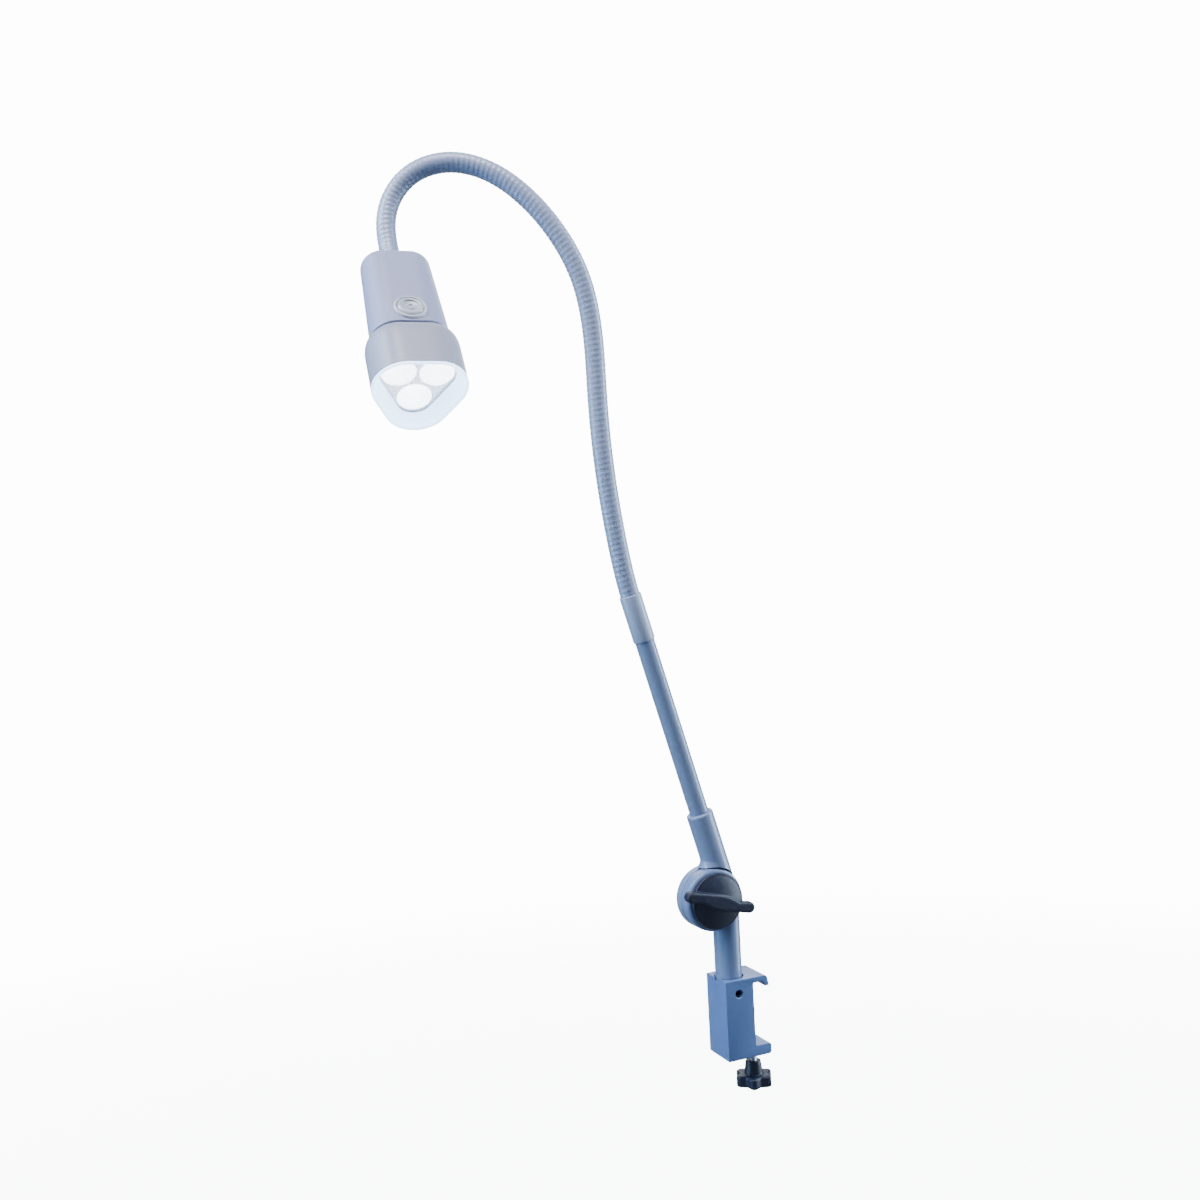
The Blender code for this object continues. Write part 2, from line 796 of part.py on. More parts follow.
def loft(name, sections, ring=False):
    """Skins rounded triangles given as (height, corner distance, corner radius).

    With ring set, the last section joins the first, as on a piece open at both ends.
    """
    bm = bmesh.new()
    rings = []
    for height, out, radius in sections:
        rings.append([bm.verts.new((x, y, height)) for x, y in three_sided(out, radius)])
    count = len(rings[0])
    pairs = list(zip(rings, rings[1:] + rings[:1])) if ring else list(zip(rings, rings[1:]))
    for lower, upper in pairs:
        for i in range(count):
            j = (i + 1) % count
            bm.faces.new((lower[i], lower[j], upper[j], upper[i]))
    if not ring:
        bm.faces.new(rings[0][::-1])
        bm.faces.new(rings[-1])
    return object_from(bm, name)


def body_radius(height):
    share = height / BODY_LENGTH
    return BODY_TOP_RADIUS + share * (BODY_END_RADIUS - BODY_TOP_RADIUS)


def fillet_sections(inset):
    """The head's domed end: sections of the body, or of its inside at a wall's depth."""
    found = []
    for degrees in (0, 30, 60, 90):
        angle = math.radians(degrees)
        height = (BODY_FILLET - inset) * (1 - math.cos(angle)) + inset
        radius = body_radius(height) - inset - (BODY_FILLET - inset) * (1 - math.sin(angle))
        found.append((height, CORNER_OUT, radius))
    return found


def button_place():
    """Where the button stands on the drafted flat side, with z out of it."""
    x = CORNER_OUT / 2 + body_radius(BUTTON_Z)
    draft = math.atan((BODY_END_RADIUS - BODY_TOP_RADIUS) / BODY_LENGTH)
    turn = Matrix.Rotation(math.radians(90) + draft, 4, "Y")
    return Matrix.Translation((x, 0, BUTTON_Z)) @ turn


def make_head_body(head):
    """The moulded casing: a drafted three-sided cup, domed at the gooseneck end."""
    outer = fillet_sections(0) + [(BODY_LENGTH, CORNER_OUT, BODY_END_RADIUS)]
    inner = [(BODY_LENGTH, CORNER_OUT, BODY_END_RADIUS - WALL)] + fillet_sections(WALL)[::-1]
    casing = loft("head_body", outer + inner)
    entry = rod("entry", 0.0056, (0, 0, -0.002), (0, 0, WALL + 0.002), 24)
    hole = rod("hole", BUTTON_HOLE_RADIUS, (0, 0, -0.006), (0, 0, 0.004))
    turn_to(hole, button_place())
    link(cut(casing, entry, hole), head_plastic(), head)


def make_neck_ferrule(head):
    """The collar where the gooseneck enters the head, and the nut that holds it inside."""
    ferrule = turned(
        "neck_ferrule",
        (
            (0.0084, -0.0068),
            (0.0096, -0.0054),
            (0.0096, -0.0003),
            (0.0053, -0.0003),
            (0.0053, 0.0090),
            (0.0036, 0.0090),
            (0.0036, -0.0068),
        )[::-1],
        24,
    )
    link(ferrule, head_plastic(), head)
    nut = rod("ferrule_nut", 0.0095, (0, 0, WALL + GAP), (0, 0, WALL + 0.0043), 6)
    hole = rod("hole", 0.0053 + GAP, (0, 0, 0), (0, 0, 0.01), 28)
    link(cut(nut, hole), brass(), head)


def make_button(head):
    """The push button in its ring, over a switch on the inside of the casing."""
    spot = button_place()
    ring = turned(
        "button_ring",
        (
            (0.0103, 0.0017),
            (0.0112, 0.0017),
            (BUTTON_RING_RADIUS, 0.0011),
            (BUTTON_RING_RADIUS, GAP),
            (0.0101, GAP),
            (0.0101, -0.0042),
            (0.0097, -0.0042),
            (0.0097, 0.0013),
        ),
        28,
    )
    link(turn_to(ring, spot), head_plastic(), head)

    frame = bpy.data.objects.new("button_frame", None)
    bpy.data.collections["frames"].objects.link(frame)
    frame.parent = head
    frame.matrix_local = spot
    cap = turned(
        "button_cap",
        (
            (0, 0.0016),
            (0.0062, 0.0016),
            (0.0068, 0.0023),
            (0.0080, 0.0022),
            (BUTTON_RADIUS, 0.0012),
            (BUTTON_RADIUS, -0.0035),
            (0, -0.0035),
        ),
        28,
    )
    link(cap, head_plastic(), frame)
    switch = box("button_switch", (-0.006, -0.006, -0.0105), (0.006, 0.006, -0.0064))
    plunger = rod("plunger", 0.0018, (0, 0, -0.007), (0, 0, -0.0052), 16)
    link(turn_to(join(switch, plunger), spot), black_plastic(), head, smooth=False)


def make_electronics(head):
    """Driver board, finned heat sink, LED board, three LEDs and their reflectors."""
    board = box("driver_board", (0.0012, -0.015, 0.020), (0.0028, 0.015, 0.058))
    part = box("part", (-0.006, -0.006, 0.030), (0.0016, 0.006, 0.042))
    link(join(board, part), circuit_board(), head, smooth=False)

    plate = slab("heat_sink", three_sided(CORNER_OUT, 0.0202), SINK_BOTTOM, SINK_TOP)
    for k in range(5):
        y = 0.0072 * (k - 2)
        plate = join(plate, box("fin", (-0.015, y - 0.0008, 0.074), (0.005, y + 0.0008, 0.0940)))
    leds = slab("led_board", three_sided(CORNER_OUT, 0.0198), SINK_TOP + GAP, LED_BOARD_TOP)
    for k in range(3):
        angle = math.radians(120 * k)
        x, y = SCREW_OUT * math.cos(angle), SCREW_OUT * math.sin(angle)
        low, high = (x, y, 0.09), (x, y, 0.10)
        plate = cut(plate, rod("hole", SCREW_HOLE_RADIUS, low, high, 10))
        leds = cut(leds, rod("hole", SCREW_HOLE_RADIUS, low, high, 10))
        screw = rod(f"bezel_screw_{k + 1}", BEZEL_SCREW_RADIUS, (x, y, 0.0925), (x, y, 0.108), 10)
        head_disc = rod("head", 0.0026, (x, y, 0.0912), (x, y, SINK_BOTTOM - GAP), 10)
        link(join(screw, head_disc), steel(), head)
    plate.name, leds.name = "heat_sink", "led_board"
    link(plate, aluminium(), head, smooth=False)
    link(leds, material("led_board_white", (0.85, 0.86, 0.85), 0.5), head, smooth=False)

    for k in range(3):
        angle = math.radians(60 + 120 * k)
        spot = Matrix.Translation((LOBE_OUT * math.cos(angle), LOBE_OUT * math.sin(angle), 0))
        led = turned(
            f"led_{k + 1}",
            (
                (0, LED_BOARD_TOP + GAP),
                (0.0030, LED_BOARD_TOP + GAP),
                (0.0030, 0.1006),
                (0.0020, 0.1016),
                (0, 0.1019),
            )[::-1],
            20,
        )
        link(turn_to(led, spot), material("led_white", (1, 0.98, 0.9), 0.3), head)
        cup = turned(
            f"reflector_{k + 1}",
            (
                (0.0120, 0.1195),
                (0.0112, 0.1120),
                (0.0086, 0.1040),
                (0.0045, 0.0994),
                (0.0036, 0.0994),
                (0.0036, 0.1004),
                (0.0076, 0.1046),
                (0.0102, 0.1120),
                (0.0111, 0.1195),
            ),
            SMALL_ROUND,
        )
        link(turn_to(cup, spot), reflector_chrome(), head)


def make_face(head):
    """The bezel with its rounded shoulder, the lens window and the dished rim around it."""
    start = BODY_LENGTH + GAP
    first = BODY_END_RADIUS + BEZEL_STEP
    sections = []
    for degrees in (0, 30, 60, 90):
        angle = math.radians(degrees)
        height = start + BEZEL_SHOULDER * (1 - math.cos(angle))
        radius = first + (BEZEL_RADIUS - first) * math.sin(angle)
        sections.append((height, CORNER_OUT, radius))
    outer = sections + [(BEZEL_END, CORNER_OUT, BEZEL_RADIUS)]
    inner = [(height + 0.0004, out, radius - WALL) for height, out, radius in outer[::-1]]
    inner[0] = (BEZEL_END, CORNER_OUT, BEZEL_RADIUS - WALL)
    inner[-1] = (start, CORNER_OUT, first - WALL)
    bezel = loft("bezel", outer + inner, ring=True)
    for k in range(3):
        angle = math.radians(120 * k)
        x, y = SCREW_OUT * math.cos(angle), SCREW_OUT * math.sin(angle)
        wall_x, wall_y = x * 1.24, y * 1.24
        post = rod("boss", 0.0032, (x, y, 0.0992), (x, y, 0.1170), 12)
        rib = box("rib", (-0.0032, -0.0012, 0.1), (0.0032, 0.0012, 0.1165))
        middle = Matrix.Translation(((x + wall_x) / 2, (y + wall_y) / 2, 0))
        turn_to(rib, middle @ Matrix.Rotation(angle, 4, "Z"))
        pilot = rod("pilot", BEZEL_SCREW_RADIUS + GAP, (x, y, 0.098), (x, y, 0.1085), 10)
        bezel = cut(join(bezel, join(post, rib)), pilot)
    bezel.name = "bezel"
    link(bezel, head_plastic(), head)

    window = slab("lens_window", three_sided(LOBE_OUT, LOBE_RADIUS + 0.0012), 0.1198, 0.1218)
    link(window, material("lens_clear", (0.9, 0.93, 0.96), 0.08), head)

    rim = (
        (WINDOW_DEPTH, LOBE_OUT, LOBE_RADIUS),
        (0.1246, 0.0150, 0.0149),
        (0.1290, 0.0135, 0.0181),
        (0.1330, CORNER_OUT, 0.0226),
        (RIM_END, CORNER_OUT, 0.0234),
        (RIM_END - 0.0004, CORNER_OUT, BEZEL_RADIUS - 0.0001),
        (BEZEL_END + GAP, CORNER_OUT, BEZEL_RADIUS),
        (BEZEL_END + GAP, CORNER_OUT, BEZEL_RADIUS - WALL - GAP),
        (0.1270, 0.0125, 0.0202),
        (WINDOW_DEPTH, 0.0150, 0.0162),
    )
    link(loft("dished_rim", rim, ring=True), frosted_plastic(), head)


# ---------------------------------------------------------------- the whole lamp


def main():
    clear_scene()
    make_clamp_block()
    make_post_bush()
    make_set_screw()
    make_retaining_ring()
    make_dc_inlet()
    make_clamping_screw()
    make_lower_post()
    make_arm(frame_at(JOINT, Matrix.Rotation(-TILT, 3, "Y"), "arm_frame"))
    make_joint_hardware()
    make_gooseneck(whole_route())
    head = frame_at(HEAD_TOP, head_axes(), "head_frame")
    make_head_body(head)
    make_neck_ferrule(head)
    make_button(head)
    make_electronics(head)
    make_face(head)


main()
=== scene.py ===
"""The looks of the examination lamp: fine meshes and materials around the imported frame."""

import math

import bmesh
import bpy
import numpy as np
from mathutils import Matrix, Vector


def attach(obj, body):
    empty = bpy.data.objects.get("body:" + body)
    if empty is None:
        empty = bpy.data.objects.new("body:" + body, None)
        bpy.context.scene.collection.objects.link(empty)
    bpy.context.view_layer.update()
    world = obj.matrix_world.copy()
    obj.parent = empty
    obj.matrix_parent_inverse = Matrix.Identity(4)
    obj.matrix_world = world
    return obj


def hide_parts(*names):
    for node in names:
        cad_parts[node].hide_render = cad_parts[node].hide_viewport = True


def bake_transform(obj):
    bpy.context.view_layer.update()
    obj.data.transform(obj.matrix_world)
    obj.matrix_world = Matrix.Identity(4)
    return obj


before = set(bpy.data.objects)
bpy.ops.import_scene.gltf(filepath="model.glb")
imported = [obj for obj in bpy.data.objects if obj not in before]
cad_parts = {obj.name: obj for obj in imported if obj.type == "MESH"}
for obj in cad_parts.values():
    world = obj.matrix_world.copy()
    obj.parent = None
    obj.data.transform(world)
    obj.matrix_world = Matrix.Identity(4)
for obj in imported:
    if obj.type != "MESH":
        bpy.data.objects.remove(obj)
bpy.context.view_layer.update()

# Clamp
CLAMP_WIDTH = 0.032
CLAMP_DEPTH = 0.0254
CLAMP_TOP = 0.0168
CLAMP_BOTTOM = -0.0475
JAW_TOP = -0.039
RAIL_HALF = 0.0125
SET_SCREW_Z = 0.0057
SET_SCREW_BORE_RADIUS = 0.0032
SCREW_X = 0.0056
SCREW_BORE_RADIUS = 0.0033
POST_BORE_RADIUS = 0.0087
PAD_TOP = -0.0128
GRIP_TOP = -0.0565
GRIP_LOBES_TOP = -0.0672
GRIP_BOTTOM = -0.0763

# Post, tilt joint and tube
POST_X = -0.0134
POST_RADIUS = 0.011
RECESS_RADIUS = 0.0121
RECESS_DEPTH = 0.0025
DISC_RADIUS = 0.0255
DISC_HALF = 0.011
DISC_INNER = 0.0008
DISC_FILLET = 0.0032
DISC_CLEARANCE = 0.0010
WEB_INSET = 0.0003
BOLT_HOLE_RADIUS = 0.0043
STUB_OFFSET = DISC_RADIUS - POST_RADIUS
JOINT = Vector((POST_X - STUB_OFFSET, 0, 0.083))
TILT = math.radians(16.25)
STUB_TOP = 0.069
SLEEVE_START = 0.217
SLEEVE_END = 0.2555
TUBE_RADIUS = 0.0079
SLEEVE_RADIUS = 0.0089
WING_RADIUS = 0.0227
WING_SPAN = 0.063
WING_TURN = math.radians(16.4)

# Gooseneck
NECK_RADIUS = 0.0079
NECK_TIP_RADIUS = 0.0074
TAPER_LENGTH = 0.12
NECK_START = 0.2377
NECK_SECTIONS = 8
NECK_SIDES = 40
RIB_PITCH = 0.0042
RIB_STEPS = 9
RIB_HEIGHT = 0.00009
NECK_ROUTE = (
    (-0.0950, 0.000, 0.3790),
    (-0.1020, 0.000, 0.4340),
    (-0.1050, 0.000, 0.4900),
    (-0.1070, 0.000, 0.5460),
    (-0.1140, 0.002, 0.5830),
    (-0.1290, 0.008, 0.6170),
    (-0.1500, 0.017, 0.6460),
    (-0.1770, 0.029, 0.6680),
    (-0.2050, 0.040, 0.6750),
    (-0.2330, 0.050, 0.6650),
    (-0.2480, 0.053, 0.6450),
    (-0.2535, 0.0490, 0.6240),
    (-0.2540, 0.0407, 0.6024),
    (-0.2550, 0.030, 0.5880),
)

# Head
HEAD_TOP = Vector(NECK_ROUTE[-1])
HEAD_HEADING = math.radians(5.6)
HEAD_DIP = math.radians(53.3)
WALL = 0.0022
CORNER_OUT = 0.0115
BODY_TOP_RADIUS = 0.0159
BODY_END_RADIUS = 0.0193
BODY_LENGTH = 0.088
BODY_FILLET = 0.0092
BEZEL_RADIUS = 0.0242
BEZEL_STEP = 0.001
BEZEL_SHOULDER = 0.0104
BEZEL_END = 0.1312
RIM_END = 0.1337
DISH_FLOOR = 0.1222
LOBE_OUT = 0.0155
LOBE_RADIUS = 0.0135
BUTTON_Z = 0.0715
GAP = 0.0003

# Stage
FLOOR = -0.6
FLOOR_REACH = 3.0


# ---------------------------------------------------------------- meshes


def object_from(bm, name):
    mesh = bpy.data.meshes.new(name)
    bmesh.ops.recalc_face_normals(bm, faces=bm.faces)
    bm.to_mesh(mesh)
    bm.free()
    made = bpy.data.objects.new(name, mesh)
    bpy.context.scene.collection.objects.link(made)
    return made


def applied(obj):
    """The object with its modifiers applied."""
    bpy.context.view_layer.update()
    graph = bpy.context.evaluated_depsgraph_get()
    mesh = bpy.data.meshes.new_from_object(obj.evaluated_get(graph))
    obj.modifiers.clear()
    obj.data = mesh
    return obj


def boolean(base, other, operation):
    modifier = base.modifiers.new("boolean", "BOOLEAN")
    modifier.operation = operation
    modifier.solver = "EXACT"
    modifier.object = other
    applied(base)
    bpy.data.objects.remove(other)
    return base


def cut(base, *others):
    for other in others:
        boolean(base, other, "DIFFERENCE")
    return base


def join(base, *others):
    for other in others:
        boolean(base, other, "UNION")
    return base


def rounded(obj, width, segments=3, angle=40):
    bevel = obj.modifiers.new("rounding", "BEVEL")
    bevel.width = width
    bevel.segments = segments
    bevel.limit_method = "ANGLE"
    bevel.angle_limit = math.radians(angle)
    return applied(obj)


def moulded(obj, voxel, rounds):
    """Remeshes a joined shape evenly and eases its inner corners, as a casting or moulding has."""
    remesh = obj.modifiers.new("remesh", "REMESH")
    remesh.mode = "VOXEL"
    remesh.voxel_size = voxel
    smooth = obj.modifiers.new("ease", "SMOOTH")
    smooth.factor = 0.5
    smooth.iterations = rounds
    return applied(obj)


def moved(obj, matrix):
    obj.data.transform(matrix)
    return obj


def finish_piece(obj, coat, body, node=None, sharp=35):
    """Shades the piece, gives it its material, and lets it ride and stand for its node."""
    obj.data.materials.clear()
    obj.data.materials.append(coat)
    obj.data.shade_smooth()
    obj.data.set_sharp_from_angle(angle=math.radians(sharp))
    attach(obj, body)
    if node:
        for name in [node] if isinstance(node, str) else node:
            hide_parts(name)
    return obj


def box(name, low, high):
    bm = bmesh.new()
    bmesh.ops.create_cube(bm, size=1)
    bmesh.ops.scale(bm, vec=Vector(high) - Vector(low), verts=bm.verts)
    bmesh.ops.translate(bm, vec=(Vector(high) + Vector(low)) / 2, verts=bm.verts)
    return object_from(bm, name)


def rod(name, radius, start, end, sides=96, end_radius=None):
    start, end = Vector(start), Vector(end)
    bm = bmesh.new()
    bmesh.ops.create_cone(
        bm,
        cap_ends=True,
        segments=sides,
        radius1=radius,
        radius2=radius if end_radius is None else end_radius,
        depth=(end - start).length,
    )
    turn = (end - start).to_track_quat("Z", "Y").to_matrix().to_4x4()
    bmesh.ops.transform(bm, matrix=Matrix.Translation((start + end) / 2) @ turn, verts=bm.verts)
    return object_from(bm, name)


def slab(name, outline, low, high):
    bm = bmesh.new()
    face = bm.faces.new([bm.verts.new((x, y, low)) for x, y in outline])
    raised = bmesh.ops.extrude_face_region(bm, geom=[face])["geom"]
    verts = [item for item in raised if isinstance(item, bmesh.types.BMVert)]
    bmesh.ops.translate(bm, vec=(0, 0, high - low), verts=verts)
    return object_from(bm, name)


def skin(name, rings, closed=False):
    """Joins rings of equal length with quads, capped at both ends unless closed on itself."""
    bm = bmesh.new()
    made = [[bm.verts.new(point) for point in ring] for ring in rings]
    count = len(made[0])
    after = made[1:] + made[:1] if closed else made[1:]
    for lower, upper in zip(made, after):
        for i in range(count):
            j = (i + 1) % count
            bm.faces.new((lower[i], lower[j], upper[j], upper[i]))
    if not closed:
        bm.faces.new(made[0][::-1])
        bm.faces.new(made[-1])
    return object_from(bm, name)


def turned(name, profile, sides=96):
    """A profile of (radius, height) turned about Z: capped at its ends if they are off the axis."""
    closed = profile[0] == profile[-1]
    points = profile[:-1] if closed else profile
    rings = []
    for radius, height in points:
        ring = []
        for k in range(sides):
            angle = 2 * math.pi * k / sides
            ring.append((radius * math.cos(angle), radius * math.sin(angle), height))
        rings.append(ring)
    return skin(name, rings, closed)


def arc(centre, radius, start, end, steps=8):
    """Points of an arc, in degrees."""
    points = []
    for k in range(steps + 1):
        angle = math.radians(start + (end - start) * k / steps)
        points.append((centre[0] + radius * math.cos(angle), centre[1] + radius * math.sin(angle)))
    return points


ALONG_MINUS_Y = Matrix.Rotation(math.radians(90), 4, "X")
ARM = Matrix.Translation(JOINT) @ Matrix.Rotation(-TILT, 4, "Y")
STUB = Matrix.Translation((STUB_OFFSET, 0, 0))
POST = Matrix.Translation((POST_X, 0, 0))


# ---------------------------------------------------------------- materials


class Nodes:
    """A short way to build one procedural material."""

    def __init__(self, name, colour, roughness, metallic=0.0, **more):
        self.material = bpy.data.materials.new(name)
        self.material.use_nodes = True
        self.tree = self.material.node_tree
        self.shader = self.tree.nodes["Principled BSDF"]
        self.shader.inputs["Base Color"].default_value = (*colour, 1)
        self.shader.inputs["Roughness"].default_value = roughness
        self.shader.inputs["Metallic"].default_value = metallic
        for key, value in more.items():
            self.shader.inputs[key.replace("_", " ")].default_value = value
        self.colour = colour
        self.where = self.tree.nodes.new("ShaderNodeTexCoord").outputs["Object"]

    def noise(self, scale, detail=3.0, rough=0.5):
        node = self.tree.nodes.new("ShaderNodeTexNoise")
        node.inputs["Scale"].default_value = scale
        node.inputs["Detail"].default_value = detail
        node.inputs["Roughness"].default_value = rough
        self.tree.links.new(self.where, node.inputs["Vector"])
        return node.outputs["Fac"]

    def ramp(self, value, stops):
        node = self.tree.nodes.new("ShaderNodeValToRGB")
        while len(node.color_ramp.elements) < len(stops):
            node.color_ramp.elements.new(0.5)
        for element, (place, colour) in zip(node.color_ramp.elements, stops):
            element.position = place
            element.color = (*colour, 1)
        self.tree.links.new(value, node.inputs["Fac"])
        return node.outputs["Color"]

    def span(self, value, low, high):
        node = self.tree.nodes.new("ShaderNodeMapRange")
        node.inputs["From Min"].default_value = 0.3
        node.inputs["From Max"].default_value = 0.7
        node.inputs["To Min"].default_value = low
        node.inputs["To Max"].default_value = high
        self.tree.links.new(value, node.inputs["Value"])
        return node.outputs["Result"]

    def set(self, socket, output):
        self.tree.links.new(output, self.shader.inputs[socket])

    def bump(self, height, strength, distance):
        node = self.tree.nodes.new("ShaderNodeBump")
        node.inputs["Strength"].default_value = strength
        node.inputs["Distance"].default_value = distance
        self.tree.links.new(height, node.inputs["Height"])
        self.tree.links.new(node.outputs["Normal"], self.shader.inputs["Normal"])
        return self

    def mottle(self, scale, amount):
        """Small lighter and darker patches of the base colour."""
        low = tuple(c * (1 - amount) for c in self.colour)
        high = tuple(min(1, c * (1 + amount)) for c in self.colour)
        self.set("Base Color", self.ramp(self.noise(scale), ((0.3, low), (0.7, high))))
        return self


def powder_coat(name="powder_coat", colour=(0.20, 0.265, 0.43)):
    made = Nodes(name, colour, 0.4, 0.0, Coat_Weight=0.5, Coat_Roughness=0.24)
    made.mottle(35, 0.035)
    made.set("Roughness", made.span(made.noise(160), 0.34, 0.44))
    return made.bump(made.noise(1500, 2), 0.12, 0.0002).material


def neck_sleeving():
    made = Nodes("neck_sleeving", (0.33, 0.39, 0.57), 0.4, 0.0, Coat_Weight=0.7, Coat_Roughness=0.22)
    made.mottle(60, 0.03)
    made.set("Roughness", made.span(made.noise(220), 0.4, 0.52))
    return made.bump(made.noise(2200, 2), 0.1, 0.0002).material


def head_plastic(name="head_plastic", colour=(0.36, 0.375, 0.56), gloss=0.2):
    made = Nodes(name, colour, 0.38, 0.0, Coat_Weight=gloss, Coat_Roughness=0.2)
    made.mottle(30, 0.02)
    made.set("Roughness", made.span(made.noise(200), 0.34, 0.43))
    return made.bump(made.noise(2600, 2), 0.08, 0.0002).material


def black_plastic():
    made = Nodes("black_plastic", (0.006, 0.010, 0.032), 0.4)
    made.mottle(120, 0.2)
    made.set("Roughness", made.span(made.noise(300), 0.36, 0.52))
    return made.bump(made.noise(2400, 3), 0.25, 0.0003).material


def steel():
    made = Nodes("zinc_steel", (0.56, 0.57, 0.59), 0.3, 1.0)
    made.mottle(90, 0.08)
    made.set("Roughness", made.span(made.noise(400), 0.24, 0.42))
    return made.bump(made.noise(3000, 2), 0.08, 0.0001).material


def brass():
    made = Nodes("machined_brass", (0.72, 0.55, 0.27), 0.32, 1.0)
    made.mottle(80, 0.08)
    return made.bump(made.noise(2500, 2), 0.08, 0.0001).material


def aluminium():
    made = Nodes("satin_aluminium", (0.75, 0.76, 0.78), 0.38, 1.0)
    made.mottle(80, 0.04)
    return made.bump(made.noise(2500, 2), 0.1, 0.0001).material


def circuit_board():
    made = Nodes("solder_resist", (0.02, 0.17, 0.07), 0.4)
    made.mottle(400, 0.25)
    return made.bump(made.noise(900, 2), 0.1, 0.0002).material


def board_white():
    made = Nodes("white_resist", (0.82, 0.83, 0.82), 0.45)
    made.mottle(300, 0.03)
    return made.bump(made.noise(900, 2), 0.06, 0.0002).material


def glow(made, colour, strength):
    """Gives a surface emission: on the LEDs it is their own light; on the reflectors, frosted rim and
    array plate it is painted light, standing for the light that the LEDs spread over them.
    """
    made.shader.inputs["Emission Color"].default_value = (*colour, 1)
    made.shader.inputs["Emission Strength"].default_value = strength
    return made


def reflector_metal():
    # The emission is painted light: the LEDs' light on the metallised cups, not a lamp of their own.
    made = glow(Nodes("metallised", (0.93, 0.94, 0.96), 0.2, 0.6), (0.97, 0.98, 1), 3.0)
    facets = made.tree.nodes.new("ShaderNodeTexVoronoi")
    facets.inputs["Scale"].default_value = 620
    made.tree.links.new(made.where, facets.inputs["Vector"])
    made.set("Roughness", made.span(made.noise(250), 0.14, 0.3))
    # Painted highlights: facet centres glow white and fade to grey at the facet edges; the facets'
    # bump is their real relief.
    light = made.ramp(facets.outputs["Distance"], ((0.0, (1, 1, 1)), (0.8, (0.30, 0.34, 0.40))))
    made.set("Emission Color", light)
    return made.bump(facets.outputs["Distance"], 0.6, 0.0006).material


def led_dome():
    made = glow(Nodes("led_dome", (1, 0.97, 0.88), 0.3), (1, 0.99, 0.96), 14)
    made.mottle(900, 0.04)
    return made.bump(made.noise(1500, 2), 0.05, 0.0001).material


def lens_clear():
    made = Nodes("lens_clear", (0.98, 0.99, 1), 0.3, 0.0, Transmission_Weight=1.0, IOR=1.25)
    made.set("Roughness", made.span(made.noise(300), 0.2, 0.4))
    return made.bump(made.noise(700, 3), 0.5, 0.0006).material


def frosted():
    # The bluish emission is painted light: the LEDs' light glowing on the frosted rim, which is no
    # lamp.
    made = glow(Nodes("frosted_rim", (0.90, 0.93, 0.97), 0.32), (0.46, 0.70, 1), 4.2)
    made.mottle(60, 0.02)
    made.set("Roughness", made.span(made.noise(200), 0.26, 0.38))
    return made.bump(made.noise(1800, 2), 0.06, 0.0002).material


COAT = powder_coat()
SLEEVE_COAT = powder_coat("sleeve_coat", (0.38, 0.45, 0.61))
# Darker, bluer copies of the one powder coat for the post and the clamp: painted shade, darker towards
# the bottom of the lamp.
POST_SHADED_COAT = powder_coat("post_coat_painted_shade", (0.165, 0.235, 0.41))
CLAMP_SHADED_COAT = powder_coat("clamp_coat_painted_shade", (0.105, 0.19, 0.43))
SLEEVING = neck_sleeving()
SHELL = head_plastic()
BEZEL = head_plastic("bezel_plastic", (0.37, 0.38, 0.49))
BUTTON = head_plastic("button_plastic", (0.52, 0.55, 0.63), 0.7)
RING = head_plastic("ring_plastic", (0.60, 0.62, 0.70), 0.8)
BLACK = black_plastic()
STEEL = steel()
FROSTED = frosted()


# ---------------------------------------------------------------- clamp


def clamp_outline():
    points = [(-CLAMP_DEPTH, CLAMP_BOTTOM)]
    points += arc((0.0122, CLAMP_BOTTOM + 0.0022), 0.0022, -90, 0, 6)
    points += arc((0.0128, JAW_TOP - 0.0016), 0.0016, 0, 90, 5)
    points += arc((0.0012, JAW_TOP + 0.0012), 0.0012, 270, 180, 4)
    points += arc((0.0010, RAIL_HALF - 0.0010), 0.0010, 180, 90, 4)
    points += [(0.0088, RAIL_HALF), (0.0098, 0.0115), (0.0105, 0.0098), (0.0105, 0.0087)]
    points += arc((0.0111, 0.0089), 0.0006, 180, 270, 3)
    points += arc((0.0141, 0.0089), 0.0006, 270, 350, 3)
    points += arc((0.0111, CLAMP_TOP - 0.0024), 0.0024, 12, 90, 6)
    points.append((-CLAMP_DEPTH, CLAMP_TOP))
    return points


